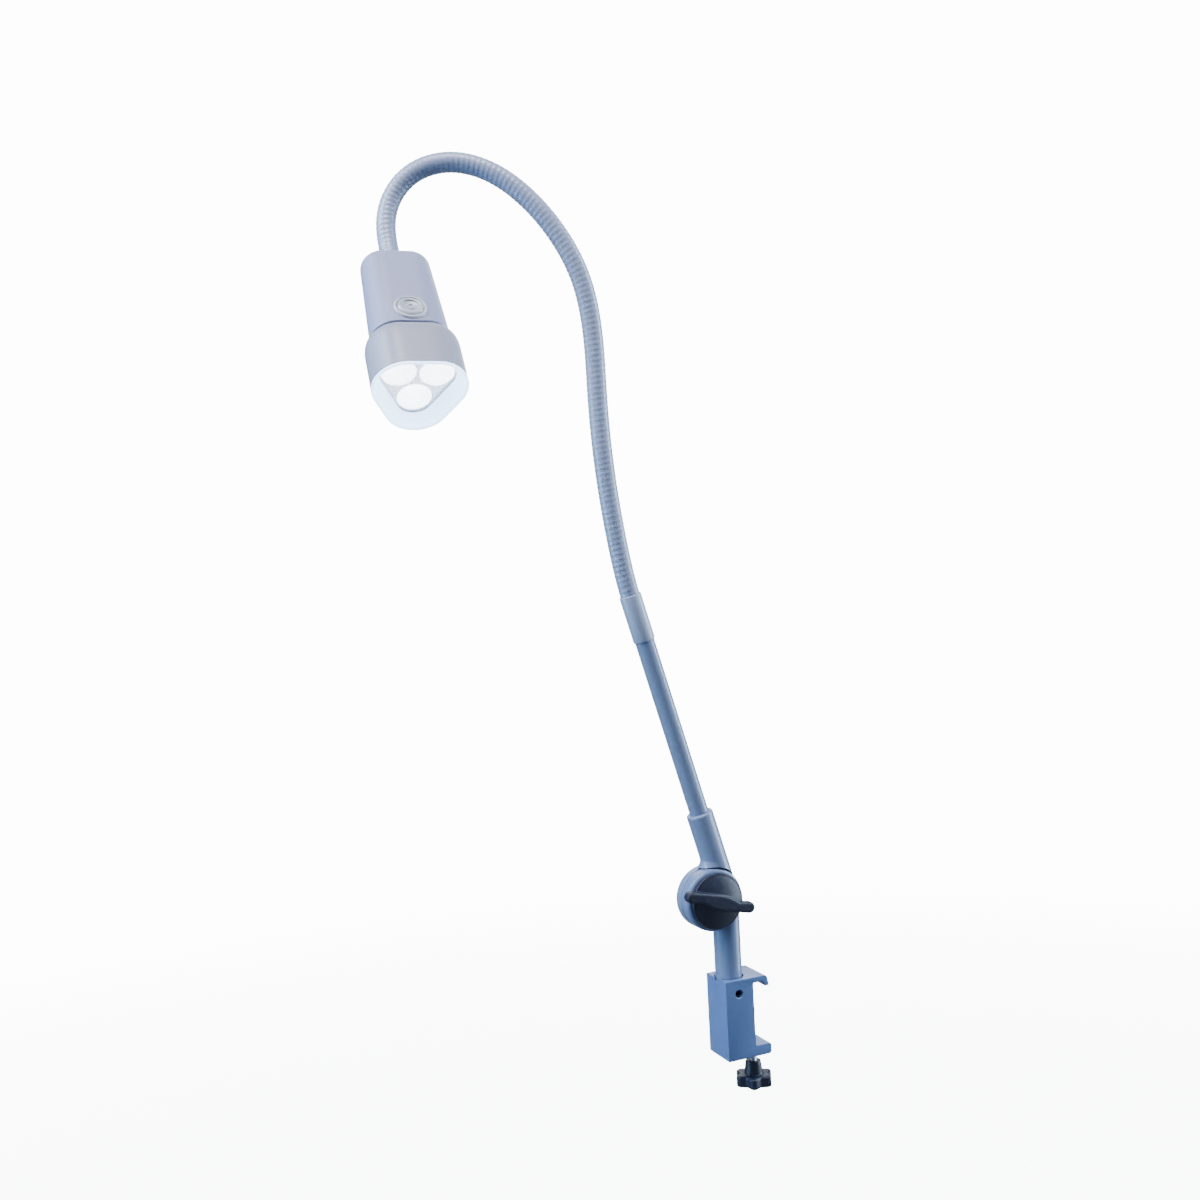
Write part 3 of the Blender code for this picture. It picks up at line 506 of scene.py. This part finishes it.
def make_clamp():
    block = slab("clamp_casting", clamp_outline(), -CLAMP_WIDTH / 2, CLAMP_WIDTH / 2)
    moved(block, ALONG_MINUS_Y)
    block = rounded(block, 0.0007, 4, 50)
    floor = CLAMP_TOP - RECESS_DEPTH
    high = CLAMP_TOP + 0.002
    recess = rod("recess", RECESS_RADIUS, (POST_X, 0, floor), (POST_X, 0, high))
    bore = rod("bore", POST_BORE_RADIUS, (POST_X, 0, CLAMP_BOTTOM - 0.002), (POST_X, 0, high))
    below = CLAMP_BOTTOM - 0.002
    feed = rod("feed", SCREW_BORE_RADIUS, (SCREW_X, 0, below), (SCREW_X, 0, JAW_TOP + 0.002), 64)
    outside = (POST_X, -CLAMP_WIDTH / 2 - 0.002, SET_SCREW_Z)
    side = rod("side", SET_SCREW_BORE_RADIUS, outside, (POST_X, -0.006, SET_SCREW_Z), 64)
    countersink = rod(
        "countersink",
        0.0045,
        (POST_X, -CLAMP_WIDTH / 2 - 0.0008, SET_SCREW_Z),
        (POST_X, -CLAMP_WIDTH / 2 + 0.0008, SET_SCREW_Z),
        64,
        0.0029,
    )
    cut(block, recess, bore, feed, side, countersink)
    finish_piece(block, CLAMP_SHADED_COAT, "clamp", "clamp_block")

    head = -CLAMP_WIDTH / 2 + 0.0032
    grub = rod("grub_screw", 0.0029, (POST_X, head, SET_SCREW_Z), (POST_X, -0.0063, SET_SCREW_Z), 64)
    socket = rod(
        "socket", 0.0017, (POST_X, head - 0.001, SET_SCREW_Z), (POST_X, head + 0.003, SET_SCREW_Z), 6
    )
    finish_piece(cut(grub, socket), BLACK, "clamp", "set_screw")

    bottom = CLAMP_BOTTOM - 0.0012
    profile = [(0.0005, CLAMP_BOTTOM + 0.014), (0.0083, CLAMP_BOTTOM + 0.014), (0.0083, CLAMP_BOTTOM)]
    profile += [(0.0102, CLAMP_BOTTOM - GAP)]
    profile += arc((0.0096, bottom + 0.0006), 0.0006, 0, -90, 4)
    profile += [(0.0034, bottom), (0.0029, bottom + 0.0005), (0.0029, bottom + 0.0098)]
    profile += [(0.0010, bottom + 0.0098), (0.0010, bottom + 0.0014), (0.0006, bottom + 0.001)]
    inlet = turned("power_inlet", profile, 64)
    finish_piece(moved(inlet, POST), BLACK, "clamp", "dc_inlet")


def thread(name, radius, depth, pitch, low, high):
    """A threaded bar about Z: its radius follows the thread's flank round and along."""
    sides = 36
    rings = []
    steps = int((high - low) / pitch * 10)
    for k in range(steps + 1):
        height = low + (high - low) * k / steps
        ease = min(1, (height - low) / pitch, (high - height) / pitch)
        ring = []
        for side in range(sides):
            turn = side / sides
            phase = (height / pitch - turn) % 1
            groove = depth * (1 - abs(2 * phase - 1)) * ease + depth * (1 - ease)
            angle = 2 * math.pi * turn
            here = radius - groove
            ring.append((here * math.cos(angle), here * math.sin(angle), height))
        rings.append(ring)
    return skin(name, rings)


def make_clamping_screw():
    place = Matrix.Translation((SCREW_X, 0, 0))
    pad = turned(
        "screw_pad",
        [(0.0004, PAD_TOP)]
        + arc((0.0026, PAD_TOP - 0.0008), 0.0008, 90, 0, 5)
        + arc((0.0029, PAD_TOP - 0.0035), 0.0005, 0, -90, 4)
        + [(0.0004, PAD_TOP - 0.004)],
        64,
    )
    finish_piece(moved(pad, place), BLACK, "pad_feed", "pressure_pad")
    bar = thread("threaded_screw", 0.003, 0.00045, 0.001, GRIP_TOP - 0.010, PAD_TOP - 0.0043)
    finish_piece(moved(bar, place), STEEL, "grip", "clamp_screw", 50)

    lobes = []
    for step in range(144):
        angle = 2 * math.pi * step / 144
        radius = 0.0160 - 0.0019 * (1 - math.cos(6 * angle))
        lobes.append((radius * math.cos(angle), radius * math.sin(angle)))
    grip = rounded(slab("star_grip", lobes, GRIP_BOTTOM, GRIP_LOBES_TOP), 0.0016, 4)
    hub = rod("hub", 0.0082, (0, 0, GRIP_LOBES_TOP - 0.003), (0, 0, GRIP_TOP), 96, 0.0062)
    foot = rod("foot", 0.0085, (0, 0, GRIP_BOTTOM + 0.001), (0, 0, GRIP_BOTTOM - 0.0004), 96, 0.0078)
    grip = moulded(join(grip, hub, foot), 0.00032, 8)
    bore = rod("bore", 0.0033, (0, 0, GRIP_TOP - 0.0105), (0, 0, GRIP_TOP + 0.001), 64)
    cap_line = turned(
        "cap_line",
        [(0.0062, GRIP_BOTTOM + 0.0002), (0.0062, GRIP_BOTTOM - 0.002), (0.0056, GRIP_BOTTOM - 0.002),
         (0.0056, GRIP_BOTTOM + 0.0002), (0.0062, GRIP_BOTTOM + 0.0002)],
        64,
    )
    finish_piece(moved(cut(grip, bore, cap_line), place), BLACK, "grip", "star_knob", 50)


# ---------------------------------------------------------------- tilt joint and tube


def oval(left, height):
    """A ring just inside the stub's depth, from its far side to a given edge."""
    depth = POST_RADIUS - WEB_INSET
    right = STUB_OFFSET + depth
    middle = (right + left) / 2
    half = (right - left) / 2
    ring = []
    for k in range(64):
        angle = 2 * math.pi * k / 64
        ring.append((middle + half * math.cos(angle), depth * math.sin(angle), height))
    return ring


def half_joint(name, side, stub_end, fillet, shoulder):
    """Half of the joint: a round stub tangent to a half-thickness disc, with a concave web."""
    fillet_centre = (DISC_RADIUS - DISC_FILLET, DISC_HALF - DISC_FILLET)
    profile = [(0.0005, DISC_HALF)]
    profile += arc(fillet_centre, DISC_FILLET, 90, 0, 8)
    profile += arc((DISC_RADIUS - 0.0006, DISC_INNER + 0.0006), 0.0006, 0, -90, 3)
    profile.append((0.0005, DISC_INNER))
    disc = turned("disc", profile, 144)
    moved(disc, Matrix.Rotation(math.radians(-90 * side), 4, "X"))
    stub = rod("stub", POST_RADIUS, (STUB_OFFSET, 0, 0), (STUB_OFFSET, 0, stub_end), 96)
    if shoulder:
        stub = rounded(stub, shoulder, 3)
    centre_x = STUB_OFFSET - POST_RADIUS - fillet
    centre_z = math.sqrt((DISC_RADIUS + fillet) ** 2 - centre_x**2)
    start = math.degrees(math.atan2(-centre_z, -centre_x))
    edge = arc((centre_x + 0.0002, centre_z), fillet, 0, start, 16)
    rings = [oval(left, height) for left, height in edge + [(edge[-1][0], 0)]]
    body = join(stub, disc, skin("web", rings))
    body = moulded(body, 0.00045, 6)
    clearance = rod(
        "clearance",
        DISC_RADIUS + DISC_CLEARANCE,
        (0, side * DISC_INNER, 0),
        (0, -side * (DISC_HALF + 0.002), 0),
        144,
    )
    body = cut(body, clearance)
    hole = rod("hole", BOLT_HOLE_RADIUS, (0, -0.02, 0), (0, 0.02, 0), 64)
    body = cut(body, hole)
    body.name = name
    return body


def make_joint():
    seat = CLAMP_TOP - RECESS_DEPTH + GAP
    lower = half_joint("post_casting", -1, JOINT.z - seat, 0.0012, 0)
    moved(lower, Matrix.Translation(JOINT) @ Matrix.Scale(-1, 4, (0, 0, 1)))
    lower.data.flip_normals()
    spigot = rod("spigot", 0.006, (POST_X, 0, -0.024), (POST_X, 0, seat + 0.002), 64)
    finish_piece(join(lower, spigot), POST_SHADED_COAT, "post", "lower_post", 40)

    upper = half_joint("arm_casting", 1, STUB_TOP, 0.008, 0.0016)
    counterbore = rod("counterbore", 0.0075, (0, 0.005, 0), (0, 0.013, 0), 64)
    socket = rod("socket", 0.0082, (STUB_OFFSET, 0, 0.0397), (STUB_OFFSET, 0, 0.08), 96)
    upper = cut(upper, counterbore, socket)
    finish_piece(moved(upper, ARM), COAT, "arm", "upper_post", 40)

    profile = [(0.0249, 0.0004), (0.0251, 0.0002), (0.0251, -0.0002), (0.0249, -0.0004)]
    profile += [(0.0045, -0.0004), (0.0045, 0.0004), (0.0249, 0.0004)]
    washer = moved(turned("friction_washer", profile), Matrix.Translation(JOINT) @ ALONG_MINUS_Y)
    finish_piece(washer, COAT, "post", "friction_disc")

    pipe = turned(
        "arm_tube",
        [
            (TUBE_RADIUS, NECK_START - GAP),
            (TUBE_RADIUS, 0.18),
            (TUBE_RADIUS, 0.11),
            (TUBE_RADIUS, 0.040),
            (0.0062, 0.040),
            (0.0062, NECK_START - GAP),
            (TUBE_RADIUS, NECK_START - GAP),
        ],
    )
    finish_piece(moved(pipe, ARM @ STUB), COAT, "arm", "rigid_tube")

    edge = 0.0010
    inner = 0.0082
    profile = arc((SLEEVE_RADIUS - edge, SLEEVE_END - edge), edge, 90, 0, 4)
    profile += arc((SLEEVE_RADIUS - edge, SLEEVE_START + edge), edge, 0, -90, 4)
    profile += [(inner, SLEEVE_START), (inner, SLEEVE_END)]
    profile.append(profile[0])
    sleeve = turned("arm_sleeve", profile)
    finish_piece(moved(sleeve, ARM @ STUB), SLEEVE_COAT, "arm", "tube_sleeve")


def make_wing_knob():
    face = DISC_HALF + GAP
    spot = Matrix.Translation(JOINT)
    washer = turned(
        "knob_washer",
        [(0.0080, face + 0.0008), (0.0078, face + 0.001), (0.0044, face + 0.001), (0.0044, face),
         (0.0078, face), (0.0080, face + 0.0002), (0.0080, face + 0.0008)],
        64,
    )
    finish_piece(moved(washer, spot @ ALONG_MINUS_Y), STEEL, "knob_feed", "wing_washer")

    base = face + 0.001 + GAP
    profile = [(0.0005, base + 0.0082)]
    profile += arc((0.0, base - 0.0368), 0.0450, 89, 62, 8)
    profile += arc((WING_RADIUS - 0.0016, base + 0.0016), 0.0016, 60, 0, 6)
    profile += arc((WING_RADIUS - 0.0008, base + 0.0008), 0.0008, 0, -90, 4)
    profile.append((0.0005, base))
    disc = turned("clamp_wing", profile, 128)
    half = WING_SPAN / 2
    bar = []
    for sign in (1, -1):
        ends = arc((half - 0.0046, 0), 0.0046, -90, 90, 10)
        bar += [(sign * x, sign * y) for x, y in ends]
        waist = arc((0.0, -0.036), 0.0424, 62, 90, 6)
        bar += [(sign * x, sign * y) for x, y in waist[1:]]
    wing = rounded(slab("wing", bar, base + 0.0004, base + 0.0094), 0.0022, 4)
    knob = moulded(join(disc, wing), 0.00034, 7)
    bore = rod("bore", BOLT_HOLE_RADIUS, (0, 0, base - 0.001), (0, 0, 0.0202), 64)
    moved(cut(knob, bore), spot @ Matrix.Rotation(WING_TURN, 4, "Y") @ ALONG_MINUS_Y)
    finish_piece(knob, BLACK, "wing", "wing_knob", 50)


# ---------------------------------------------------------------- gooseneck


class Route:
    """A natural cubic spline through points, read by distance along it."""

    def __init__(self, points):
        self.points = np.array(points)
        steps = np.linalg.norm(np.diff(self.points, axis=0), axis=1)
        self.at = np.concatenate([[0], np.cumsum(steps)])
        count = len(points)
        system = np.eye(count)
        right = np.zeros((count, 3))
        for i in range(1, count - 1):
            before, after = steps[i - 1], steps[i]
            system[i, i - 1 : i + 2] = before, 2 * (before + after), after
            slope_after = (self.points[i + 1] - self.points[i]) / after
            slope_before = (self.points[i] - self.points[i - 1]) / before
            right[i] = 6 * (slope_after - slope_before)
        self.bend = np.linalg.solve(system, right)
        self.fine = np.linspace(0, self.at[-1], 2000)
        places = np.array([self.read(t) for t in self.fine])
        lengths = np.linalg.norm(np.diff(places, axis=0), axis=1)
        self.run = np.concatenate([[0], np.cumsum(lengths)])
        self.length = self.run[-1]

    def read(self, t):
        i = int(np.clip(np.searchsorted(self.at, t) - 1, 0, len(self.at) - 2))
        width = self.at[i + 1] - self.at[i]
        a = (self.at[i + 1] - t) / width
        b = 1 - a
        curve = (a**3 - a) * self.bend[i] + (b**3 - b) * self.bend[i + 1]
        return a * self.points[i] + b * self.points[i + 1] + curve * width**2 / 6

    def point(self, distance):
        return Vector(self.read(np.interp(distance, self.run, self.fine)))


def neck_rings(route):
    """Rings along the whole neck, whose radius follows soft helical ribs, with their distances."""
    sides, step = NECK_SIDES, RIB_PITCH / RIB_STEPS
    start, end = 0.004, route.length - 0.0066
    count = int((end - start) / step)
    distances = [start + (end - start) * k / count for k in range(count + 1)]
    points = [route.point(d) for d in distances]
    across = Vector((0, 1, 0))
    rings = []
    for k, distance in enumerate(distances):
        ahead = (points[min(k + 1, count)] - points[max(k - 1, 0)]).normalized()
        across = (across - ahead * across.dot(ahead)).normalized()
        other = ahead.cross(across)
        left = min(1, (route.length - distance) / TAPER_LENGTH)
        slim = NECK_TIP_RADIUS + (NECK_RADIUS - NECK_TIP_RADIUS) * left
        ring = []
        for side in range(sides):
            turn = side / sides
            wave = math.cos(2 * math.pi * (distance / RIB_PITCH - turn))
            radius = slim + RIB_HEIGHT * (wave + 0.25 * wave * wave - 0.25)
            angle = 2 * math.pi * turn
            ring.append(points[k] + (across * math.cos(angle) + other * math.sin(angle)) * radius)
        rings.append(ring)
    return distances, rings


def make_gooseneck():
    """The sleeving as pieces that run from the middle of one section to the middle of the next."""
    up = Vector((-math.sin(TILT), 0, math.cos(TILT)))
    side = Vector((math.cos(TILT), 0, math.sin(TILT))) * STUB_OFFSET
    ends = [JOINT + side + up * NECK_START, JOINT + side + up * SLEEVE_END]
    route = Route(ends + [Vector(point) for point in NECK_ROUTE])
    first = SLEEVE_END - NECK_START
    section = (route.length - first) / NECK_SECTIONS
    middles = [first + section * (k + 0.5) for k in range(NECK_SECTIONS)]
    distances, rings = neck_rings(route)
    bodies = ["arm"] + [f"neck_{k}" for k in range(2, NECK_SECTIONS)] + ["head"]
    marks = [int(np.searchsorted(distances, middle)) for middle in middles]
    edges = [0] + marks + [len(rings) - 1]
    for k in range(NECK_SECTIONS + 1):
        piece = skin(f"neck_sleeving_{k}", rings[edges[k] : edges[k + 1] + 1])
        piece.data.materials.append(SLEEVING)
        piece.data.shade_smooth()
        piece.data.set_sharp_from_angle(angle=math.radians(50))
        if k in (0, NECK_SECTIONS):
            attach(piece, bodies[0 if k == 0 else -1])
        else:
            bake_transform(piece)
        if k < NECK_SECTIONS:
            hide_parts(f"neck_section_{k + 1}")


# ---------------------------------------------------------------- head


def head_matrix():
    heading = Vector((-math.sin(HEAD_HEADING), -math.cos(HEAD_HEADING), 0))
    up = Vector((0, 0, 1))
    z = heading * math.cos(HEAD_DIP) - up * math.sin(HEAD_DIP)
    x = heading * math.sin(HEAD_DIP) + up * math.cos(HEAD_DIP)
    axes = Matrix((x, z.cross(x), z)).transposed()
    return Matrix.Translation(HEAD_TOP) @ axes.to_4x4()


HEAD = head_matrix()


def three_sided(out, radius, height, steps=20):
    points = []
    for corner in (60, 180, 300):
        middle = math.radians(corner)
        for step in range(steps + 1):
            angle = middle + math.radians(-60 + 120 * step / steps)
            x = out * math.cos(middle) + radius * math.cos(angle)
            y = out * math.sin(middle) + radius * math.sin(angle)
            points.append((x, y, height))
    return points


def body_radius(height):
    return BODY_TOP_RADIUS + height / BODY_LENGTH * (BODY_END_RADIUS - BODY_TOP_RADIUS)


def dome(inset):
    found = []
    for step in range(13):
        angle = math.radians(90 * step / 12)
        height = (BODY_FILLET - inset) * (1 - math.cos(angle)) + inset
        radius = body_radius(height) - inset - (BODY_FILLET - inset) * (1 - math.sin(angle))
        found.append(three_sided(CORNER_OUT, radius, height))
    return found


def wall_rings(start, end, thin, count=12):
    rings = []
    for k in range(1, count + 1):
        height = start + (end - start) * k / count
        rings.append(three_sided(CORNER_OUT, body_radius(height) - thin, height))
    return rings


def button_matrix():
    x = CORNER_OUT / 2 + body_radius(BUTTON_Z)
    draft = math.atan((BODY_END_RADIUS - BODY_TOP_RADIUS) / BODY_LENGTH)
    return Matrix.Translation((x, 0, BUTTON_Z)) @ Matrix.Rotation(math.radians(90) + draft, 4, "Y")


def make_head_body():
    outer = dome(0) + wall_rings(BODY_FILLET, BODY_LENGTH - 0.0036, 0)
    for degrees in range(-80, 81, 20):
        angle = math.radians(degrees)
        height = BODY_LENGTH - 0.0026 + 0.0009 * math.sin(angle)
        radius = body_radius(height) + 0.0009 * math.cos(angle)
        outer.append(three_sided(CORNER_OUT, radius, height))
    for height in (BODY_LENGTH - 0.0015, BODY_LENGTH - 0.0001):
        outer.append(three_sided(CORNER_OUT, BODY_END_RADIUS - 0.0012, height))
    inner = [three_sided(CORNER_OUT, BODY_END_RADIUS - WALL, BODY_LENGTH - 0.0001)]
    inner += wall_rings(BODY_FILLET, BODY_LENGTH - 0.001, WALL, 6)[::-1] + dome(WALL)[::-1]
    casing = skin("head_casing", outer + inner)
    entry = rod("entry", 0.0056, (0, 0, -0.002), (0, 0, WALL + 0.002), 64)
    hole = rod("hole", 0.0104, (0, 0, -0.006), (0, 0, 0.004))
    moved(hole, button_matrix())
    cut(casing, entry, hole)
    finish_piece(moved(casing, HEAD), SHELL, "head", "head_body", 30)

    collar = [(0.0036, -0.0066), (0.0082, -0.0066)]
    collar += arc((0.0084, -0.0054), 0.0012, -90, 0, 5)
    collar += [(0.0096, -0.0026), (0.0099, -0.0012), (0.0106, -0.0004), (0.0053, -0.0004)]
    collar += [(0.0053, 0.009), (0.0036, 0.009), (0.0036, -0.0066)]
    finish_piece(moved(turned("neck_collar", collar), HEAD), RING, "head", "neck_ferrule")


def make_bezel():
    start = BODY_LENGTH + GAP
    first = BODY_END_RADIUS + BEZEL_STEP
    groove = BODY_END_RADIUS - 0.0014
    outer = [three_sided(CORNER_OUT, groove, height) for height in (start, start + 0.0008)]
    for step in range(15):
        angle = math.radians(4 + 86 * step / 14)
        height = start + BEZEL_SHOULDER * (1 - math.cos(angle)) + 0.0009
        radius = first + (BEZEL_RADIUS - first) * math.sin(angle)
        outer.append(three_sided(CORNER_OUT, radius, height))
    for k in range(1, 6):
        height = start + BEZEL_SHOULDER + (BEZEL_END - 0.0005 - start - BEZEL_SHOULDER) * k / 5
        outer.append(three_sided(CORNER_OUT, BEZEL_RADIUS, height))
    outer.append(three_sided(CORNER_OUT, BEZEL_RADIUS - 0.0004, BEZEL_END))
    inner = [
        three_sided(CORNER_OUT, BEZEL_RADIUS - WALL, BEZEL_END),
        three_sided(CORNER_OUT, BEZEL_RADIUS - WALL, start + BEZEL_SHOULDER + 0.001),
        three_sided(CORNER_OUT, first - WALL + 0.0015, start + 0.004),
        three_sided(CORNER_OUT, groove - 0.0012, start),
    ]
    bezel = skin("bezel_shell", outer + inner, closed=True)
    finish_piece(moved(bezel, HEAD), BEZEL, "head", "bezel", 30)

    # A black ring in the groove between body and bezel: a painted shadow line along the junction, not
    # a real gasket.
    low, high = BODY_LENGTH - 0.0014, start + 0.0007
    inside, outside = BODY_END_RADIUS - 0.0010, BODY_END_RADIUS - 0.0001
    corners = ((inside, low), (outside, low), (outside, high), (inside, high))
    shadow_line_ring = skin("bezel_shadow_line_ring", [three_sided(CORNER_OUT, r, z) for r, z in corners], closed=True)
    finish_piece(moved(shadow_line_ring, HEAD), BLACK, "head", None, 30)


def make_face():
    dish = [(DISH_FLOOR, LOBE_OUT, LOBE_RADIUS)]
    for step in range(1, 13):
        share = step / 12
        height = DISH_FLOOR + 0.0110 * share
        bow = 0.0012 * math.sin(math.pi * share)
        out = LOBE_OUT + (CORNER_OUT - LOBE_OUT) * share
        dish.append((height, out, LOBE_RADIUS + (0.0228 - LOBE_RADIUS) * share + bow * 0.6))
    dish += [(0.1335, CORNER_OUT, 0.0232), (RIM_END, CORNER_OUT, 0.0237)]
    dish += [(0.1334, CORNER_OUT, BEZEL_RADIUS - 0.0002), (0.1328, CORNER_OUT, BEZEL_RADIUS)]
    dish += [(BEZEL_END + GAP, CORNER_OUT, BEZEL_RADIUS)]
    dish += [(BEZEL_END + GAP, CORNER_OUT, BEZEL_RADIUS - WALL - GAP)]
    dish += [(0.1270, 0.0125, 0.0202), (DISH_FLOOR, 0.0150, 0.0162)]
    rings = [three_sided(out, radius, height) for height, out, radius in dish]
    rim = skin("frosted_dish", rings, closed=True)
    finish_piece(moved(rim, HEAD), FROSTED, "head", "dished_rim", 40)

    window = slab("clear_window", [p[:2] for p in three_sided(LOBE_OUT, 0.0147, 0)], 0.1198, 0.1218)
    window = rounded(window, 0.0003, 2, 60)
    finish_piece(moved(window, HEAD), lens_clear(), "head", "lens_window", 40)

    outline = [p[:2] for p in three_sided(LOBE_OUT, 0.0145, 0)]
    plate = slab("reflector_array", outline, 0.1186, 0.1193)
    metal = reflector_metal()
    for k in range(3):
        angle = math.radians(60 + 120 * k)
        spot = Matrix.Translation((LOBE_OUT * math.cos(angle), LOBE_OUT * math.sin(angle), 0))
        cut(plate, moved(rod("hole", 0.0124, (0, 0, 0.11), (0, 0, 0.13)), spot))
        wall = []
        for step in range(13):
            share = step / 12
            wall.append((0.0036 + 0.0087 * share**0.55, 0.0994 + 0.0196 * share))
        cup = wall + [(radius + 0.0006, height) for radius, height in wall[::-1]]
        cup.append(cup[0])
        bowl = turned(f"reflector_cup_{k + 1}", cup, 72)
        finish_piece(moved(bowl, HEAD @ spot), metal, "head", f"reflector_{k + 1}")
    # A faint painted glow: the LEDs' light on the plate between the cups, which is no lamp.
    array = glow(Nodes("reflector_array", (0.34, 0.38, 0.44), 0.3, 0.3), (0.8, 0.88, 1), 0.1)
    array.mottle(700, 0.35)
    array.bump(array.noise(900), 0.3, 0.0004)
    finish_piece(moved(plate, HEAD), array.material, "head", None, 40)


def make_button():
    spot = HEAD @ button_matrix()
    profile = [(0.0100, 0.0012)] + arc((0.0104, 0.0013), 0.0004, 180, 90, 3)
    profile += arc((0.0108, 0.0008), 0.0009, 90, 0, 5) + [(0.0121, GAP), (0.0101, GAP)]
    profile += [(0.0101, -0.0042), (0.0097, -0.0042), (0.0097, 0.0008), (0.0100, 0.0012)]
    finish_piece(moved(turned("button_surround", profile), spot), RING, "head", "button_ring")

    cap = [(0.0004, 0.0009), (0.0050, 0.0009), (0.0060, 0.0012), (0.0066, 0.0022)]
    cap += arc((0.0076, 0.0015), 0.0009, 120, 60, 5)
    cap += arc((0.0086, 0.0008), 0.0008, 60, 0, 5) + [(0.0094, -0.0035), (0.0004, -0.0035)]
    finish_piece(moved(turned("push_button", cap), spot), BUTTON, "button", "button_cap")
    ring = [(0.0020, 0.0009), (0.0022, 0.0015), (0.0028, 0.0015), (0.0030, 0.0009), (0.0020, 0.0009)]
    mark = moved(turned("button_mark", ring, 64), spot)
    finish_piece(mark, RING, "button", None, 40)


def dress_inner_nodes():
    """Materials for the CAD nodes that stay as they are."""
    coats = {
        "post_bush": brass(),
        "retaining_ring": STEEL,
        "pivot_bolt": STEEL,
        "rear_cap": BLACK,
        "ferrule_nut": brass(),
        "button_switch": BLACK,
        "driver_board": circuit_board(),
        "heat_sink": aluminium(),
        "led_board": board_white(),
    }
    light = led_dome()
    for k in (1, 2, 3):
        coats[f"led_{k}"] = light
        coats[f"bezel_screw_{k}"] = STEEL
    for name, coat in coats.items():
        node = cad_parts[name]
        node.data.materials.clear()
        node.data.materials.append(coat)


# ---------------------------------------------------------------- stage


def make_stage():
    """A pale floor that fades into a white studio, soft lights on both sides and one overhead."""
    floor = box("floor", (-FLOOR_REACH, -FLOOR_REACH, FLOOR - 0.02), (FLOOR_REACH, FLOOR_REACH, FLOOR))
    shade = Nodes("pale_floor", (0.9, 0.9, 0.91), 0.8, 0.0, Emission_Strength=9.0)
    shade.shader.inputs["Emission Color"].default_value = (0.97, 0.98, 1, 1)
    shade.mottle(2, 0.01)
    tree = shade.tree
    distance = tree.nodes.new("ShaderNodeVectorMath")
    distance.operation = "LENGTH"
    tree.links.new(shade.where, distance.inputs[0])
    fade = tree.nodes.new("ShaderNodeMapRange")
    fade.inputs["From Min"].default_value = 0.9
    fade.inputs["From Max"].default_value = FLOOR_REACH
    tree.links.new(distance.outputs["Value"], fade.inputs["Value"])
    clear = tree.nodes.new("ShaderNodeBsdfTransparent")
    mix = tree.nodes.new("ShaderNodeMixShader")
    tree.links.new(fade.outputs["Result"], mix.inputs["Fac"])
    tree.links.new(shade.shader.outputs["BSDF"], mix.inputs[1])
    tree.links.new(clear.outputs["BSDF"], mix.inputs[2])
    tree.links.new(mix.outputs["Shader"], tree.nodes["Material Output"].inputs["Surface"])
    floor.data.materials.append(shade.material)
    floor.visible_diffuse = False
    floor.visible_glossy = False

    world = bpy.data.worlds.new("studio")
    world.use_nodes = True
    nodes, links = world.node_tree.nodes, world.node_tree.links
    ambient = nodes["Background"]
    ambient.inputs["Color"].default_value = (0.45, 0.66, 1.0, 1)
    ambient.inputs["Strength"].default_value = 0.14
    white = nodes.new("ShaderNodeBackground")
    white.inputs["Color"].default_value = (1, 1, 1, 1)
    white.inputs["Strength"].default_value = 14
    sheen = nodes.new("ShaderNodeBackground")
    sheen.inputs["Color"].default_value = (0.80, 0.90, 1, 1)
    sheen.inputs["Strength"].default_value = 0.35
    path = nodes.new("ShaderNodeLightPath")
    soft = nodes.new("ShaderNodeMixShader")
    links.new(path.outputs["Is Glossy Ray"], soft.inputs["Fac"])
    links.new(ambient.outputs["Background"], soft.inputs[1])
    links.new(sheen.outputs["Background"], soft.inputs[2])
    mix = nodes.new("ShaderNodeMixShader")
    links.new(path.outputs["Is Camera Ray"], mix.inputs["Fac"])
    links.new(soft.outputs["Shader"], mix.inputs[1])
    links.new(white.outputs["Background"], mix.inputs[2])
    links.new(mix.outputs["Shader"], nodes["World Output"].inputs["Surface"])
    bpy.context.scene.world = world

    target = Vector((-0.14, 0, 0.3))
    lights = (
        ("left", (-1.62, 0.30, 0.7), 0.6, 2.2, 50, (0.44, 0.69, 1)),
        ("right", (1.24, -0.40, 0.6), 0.5, 2.2, 48, (0.66, 0.83, 1)),
        ("overhead", (-0.50, -0.70, 2.2), 1.0, 1.0, 42, (1, 0.96, 0.97)),
        ("crown", (-1.3, -0.05, 1.7), 0.5, 0.5, 18, (0.96, 0.98, 1)),
        ("back", (0.5, 1.5, 1.0), 1.4, 1.4, 14, (0.85, 0.92, 1)),
    )
    for name, place, width, height, power, colour in lights:
        data = bpy.data.lights.new(name, "AREA")
        data.shape = "RECTANGLE"
        data.size = width
        data.size_y = height
        data.energy = power
        data.color = colour
        lamp = bpy.data.objects.new(name, data)
        lamp.location = place
        lamp.rotation_euler = (target - Vector(place)).to_track_quat("-Z", "Y").to_euler()
        bpy.context.scene.collection.objects.link(lamp)


def make_camera():
    turn, rise, roll = math.radians(-23.96), math.radians(1.12), math.radians(-2.90)
    back = Vector(
        (math.sin(turn) * math.cos(rise), -math.cos(turn) * math.cos(rise), math.sin(rise))
    )
    right = Vector((math.cos(turn), math.sin(turn), 0))
    up = back.cross(right)
    leaned = right * math.cos(roll) + up * math.sin(roll)
    upright = up * math.cos(roll) - right * math.sin(roll)
    data = bpy.data.cameras.new("camera")
    data.sensor_width = 36
    data.lens = 38.4
    camera = bpy.data.objects.new("camera", data)
    axes = Matrix((leaned, upright, back)).transposed().to_4x4()
    camera.matrix_world = Matrix.Translation((-0.5181, -0.9150, 0.3493)) @ axes
    bpy.context.scene.collection.objects.link(camera)
    bpy.context.scene.camera = camera


make_camera()
make_stage()
make_clamp()
make_clamping_screw()
make_joint()
make_wing_knob()
make_gooseneck()
make_head_body()
make_bezel()
make_face()
make_button()
dress_inner_nodes()
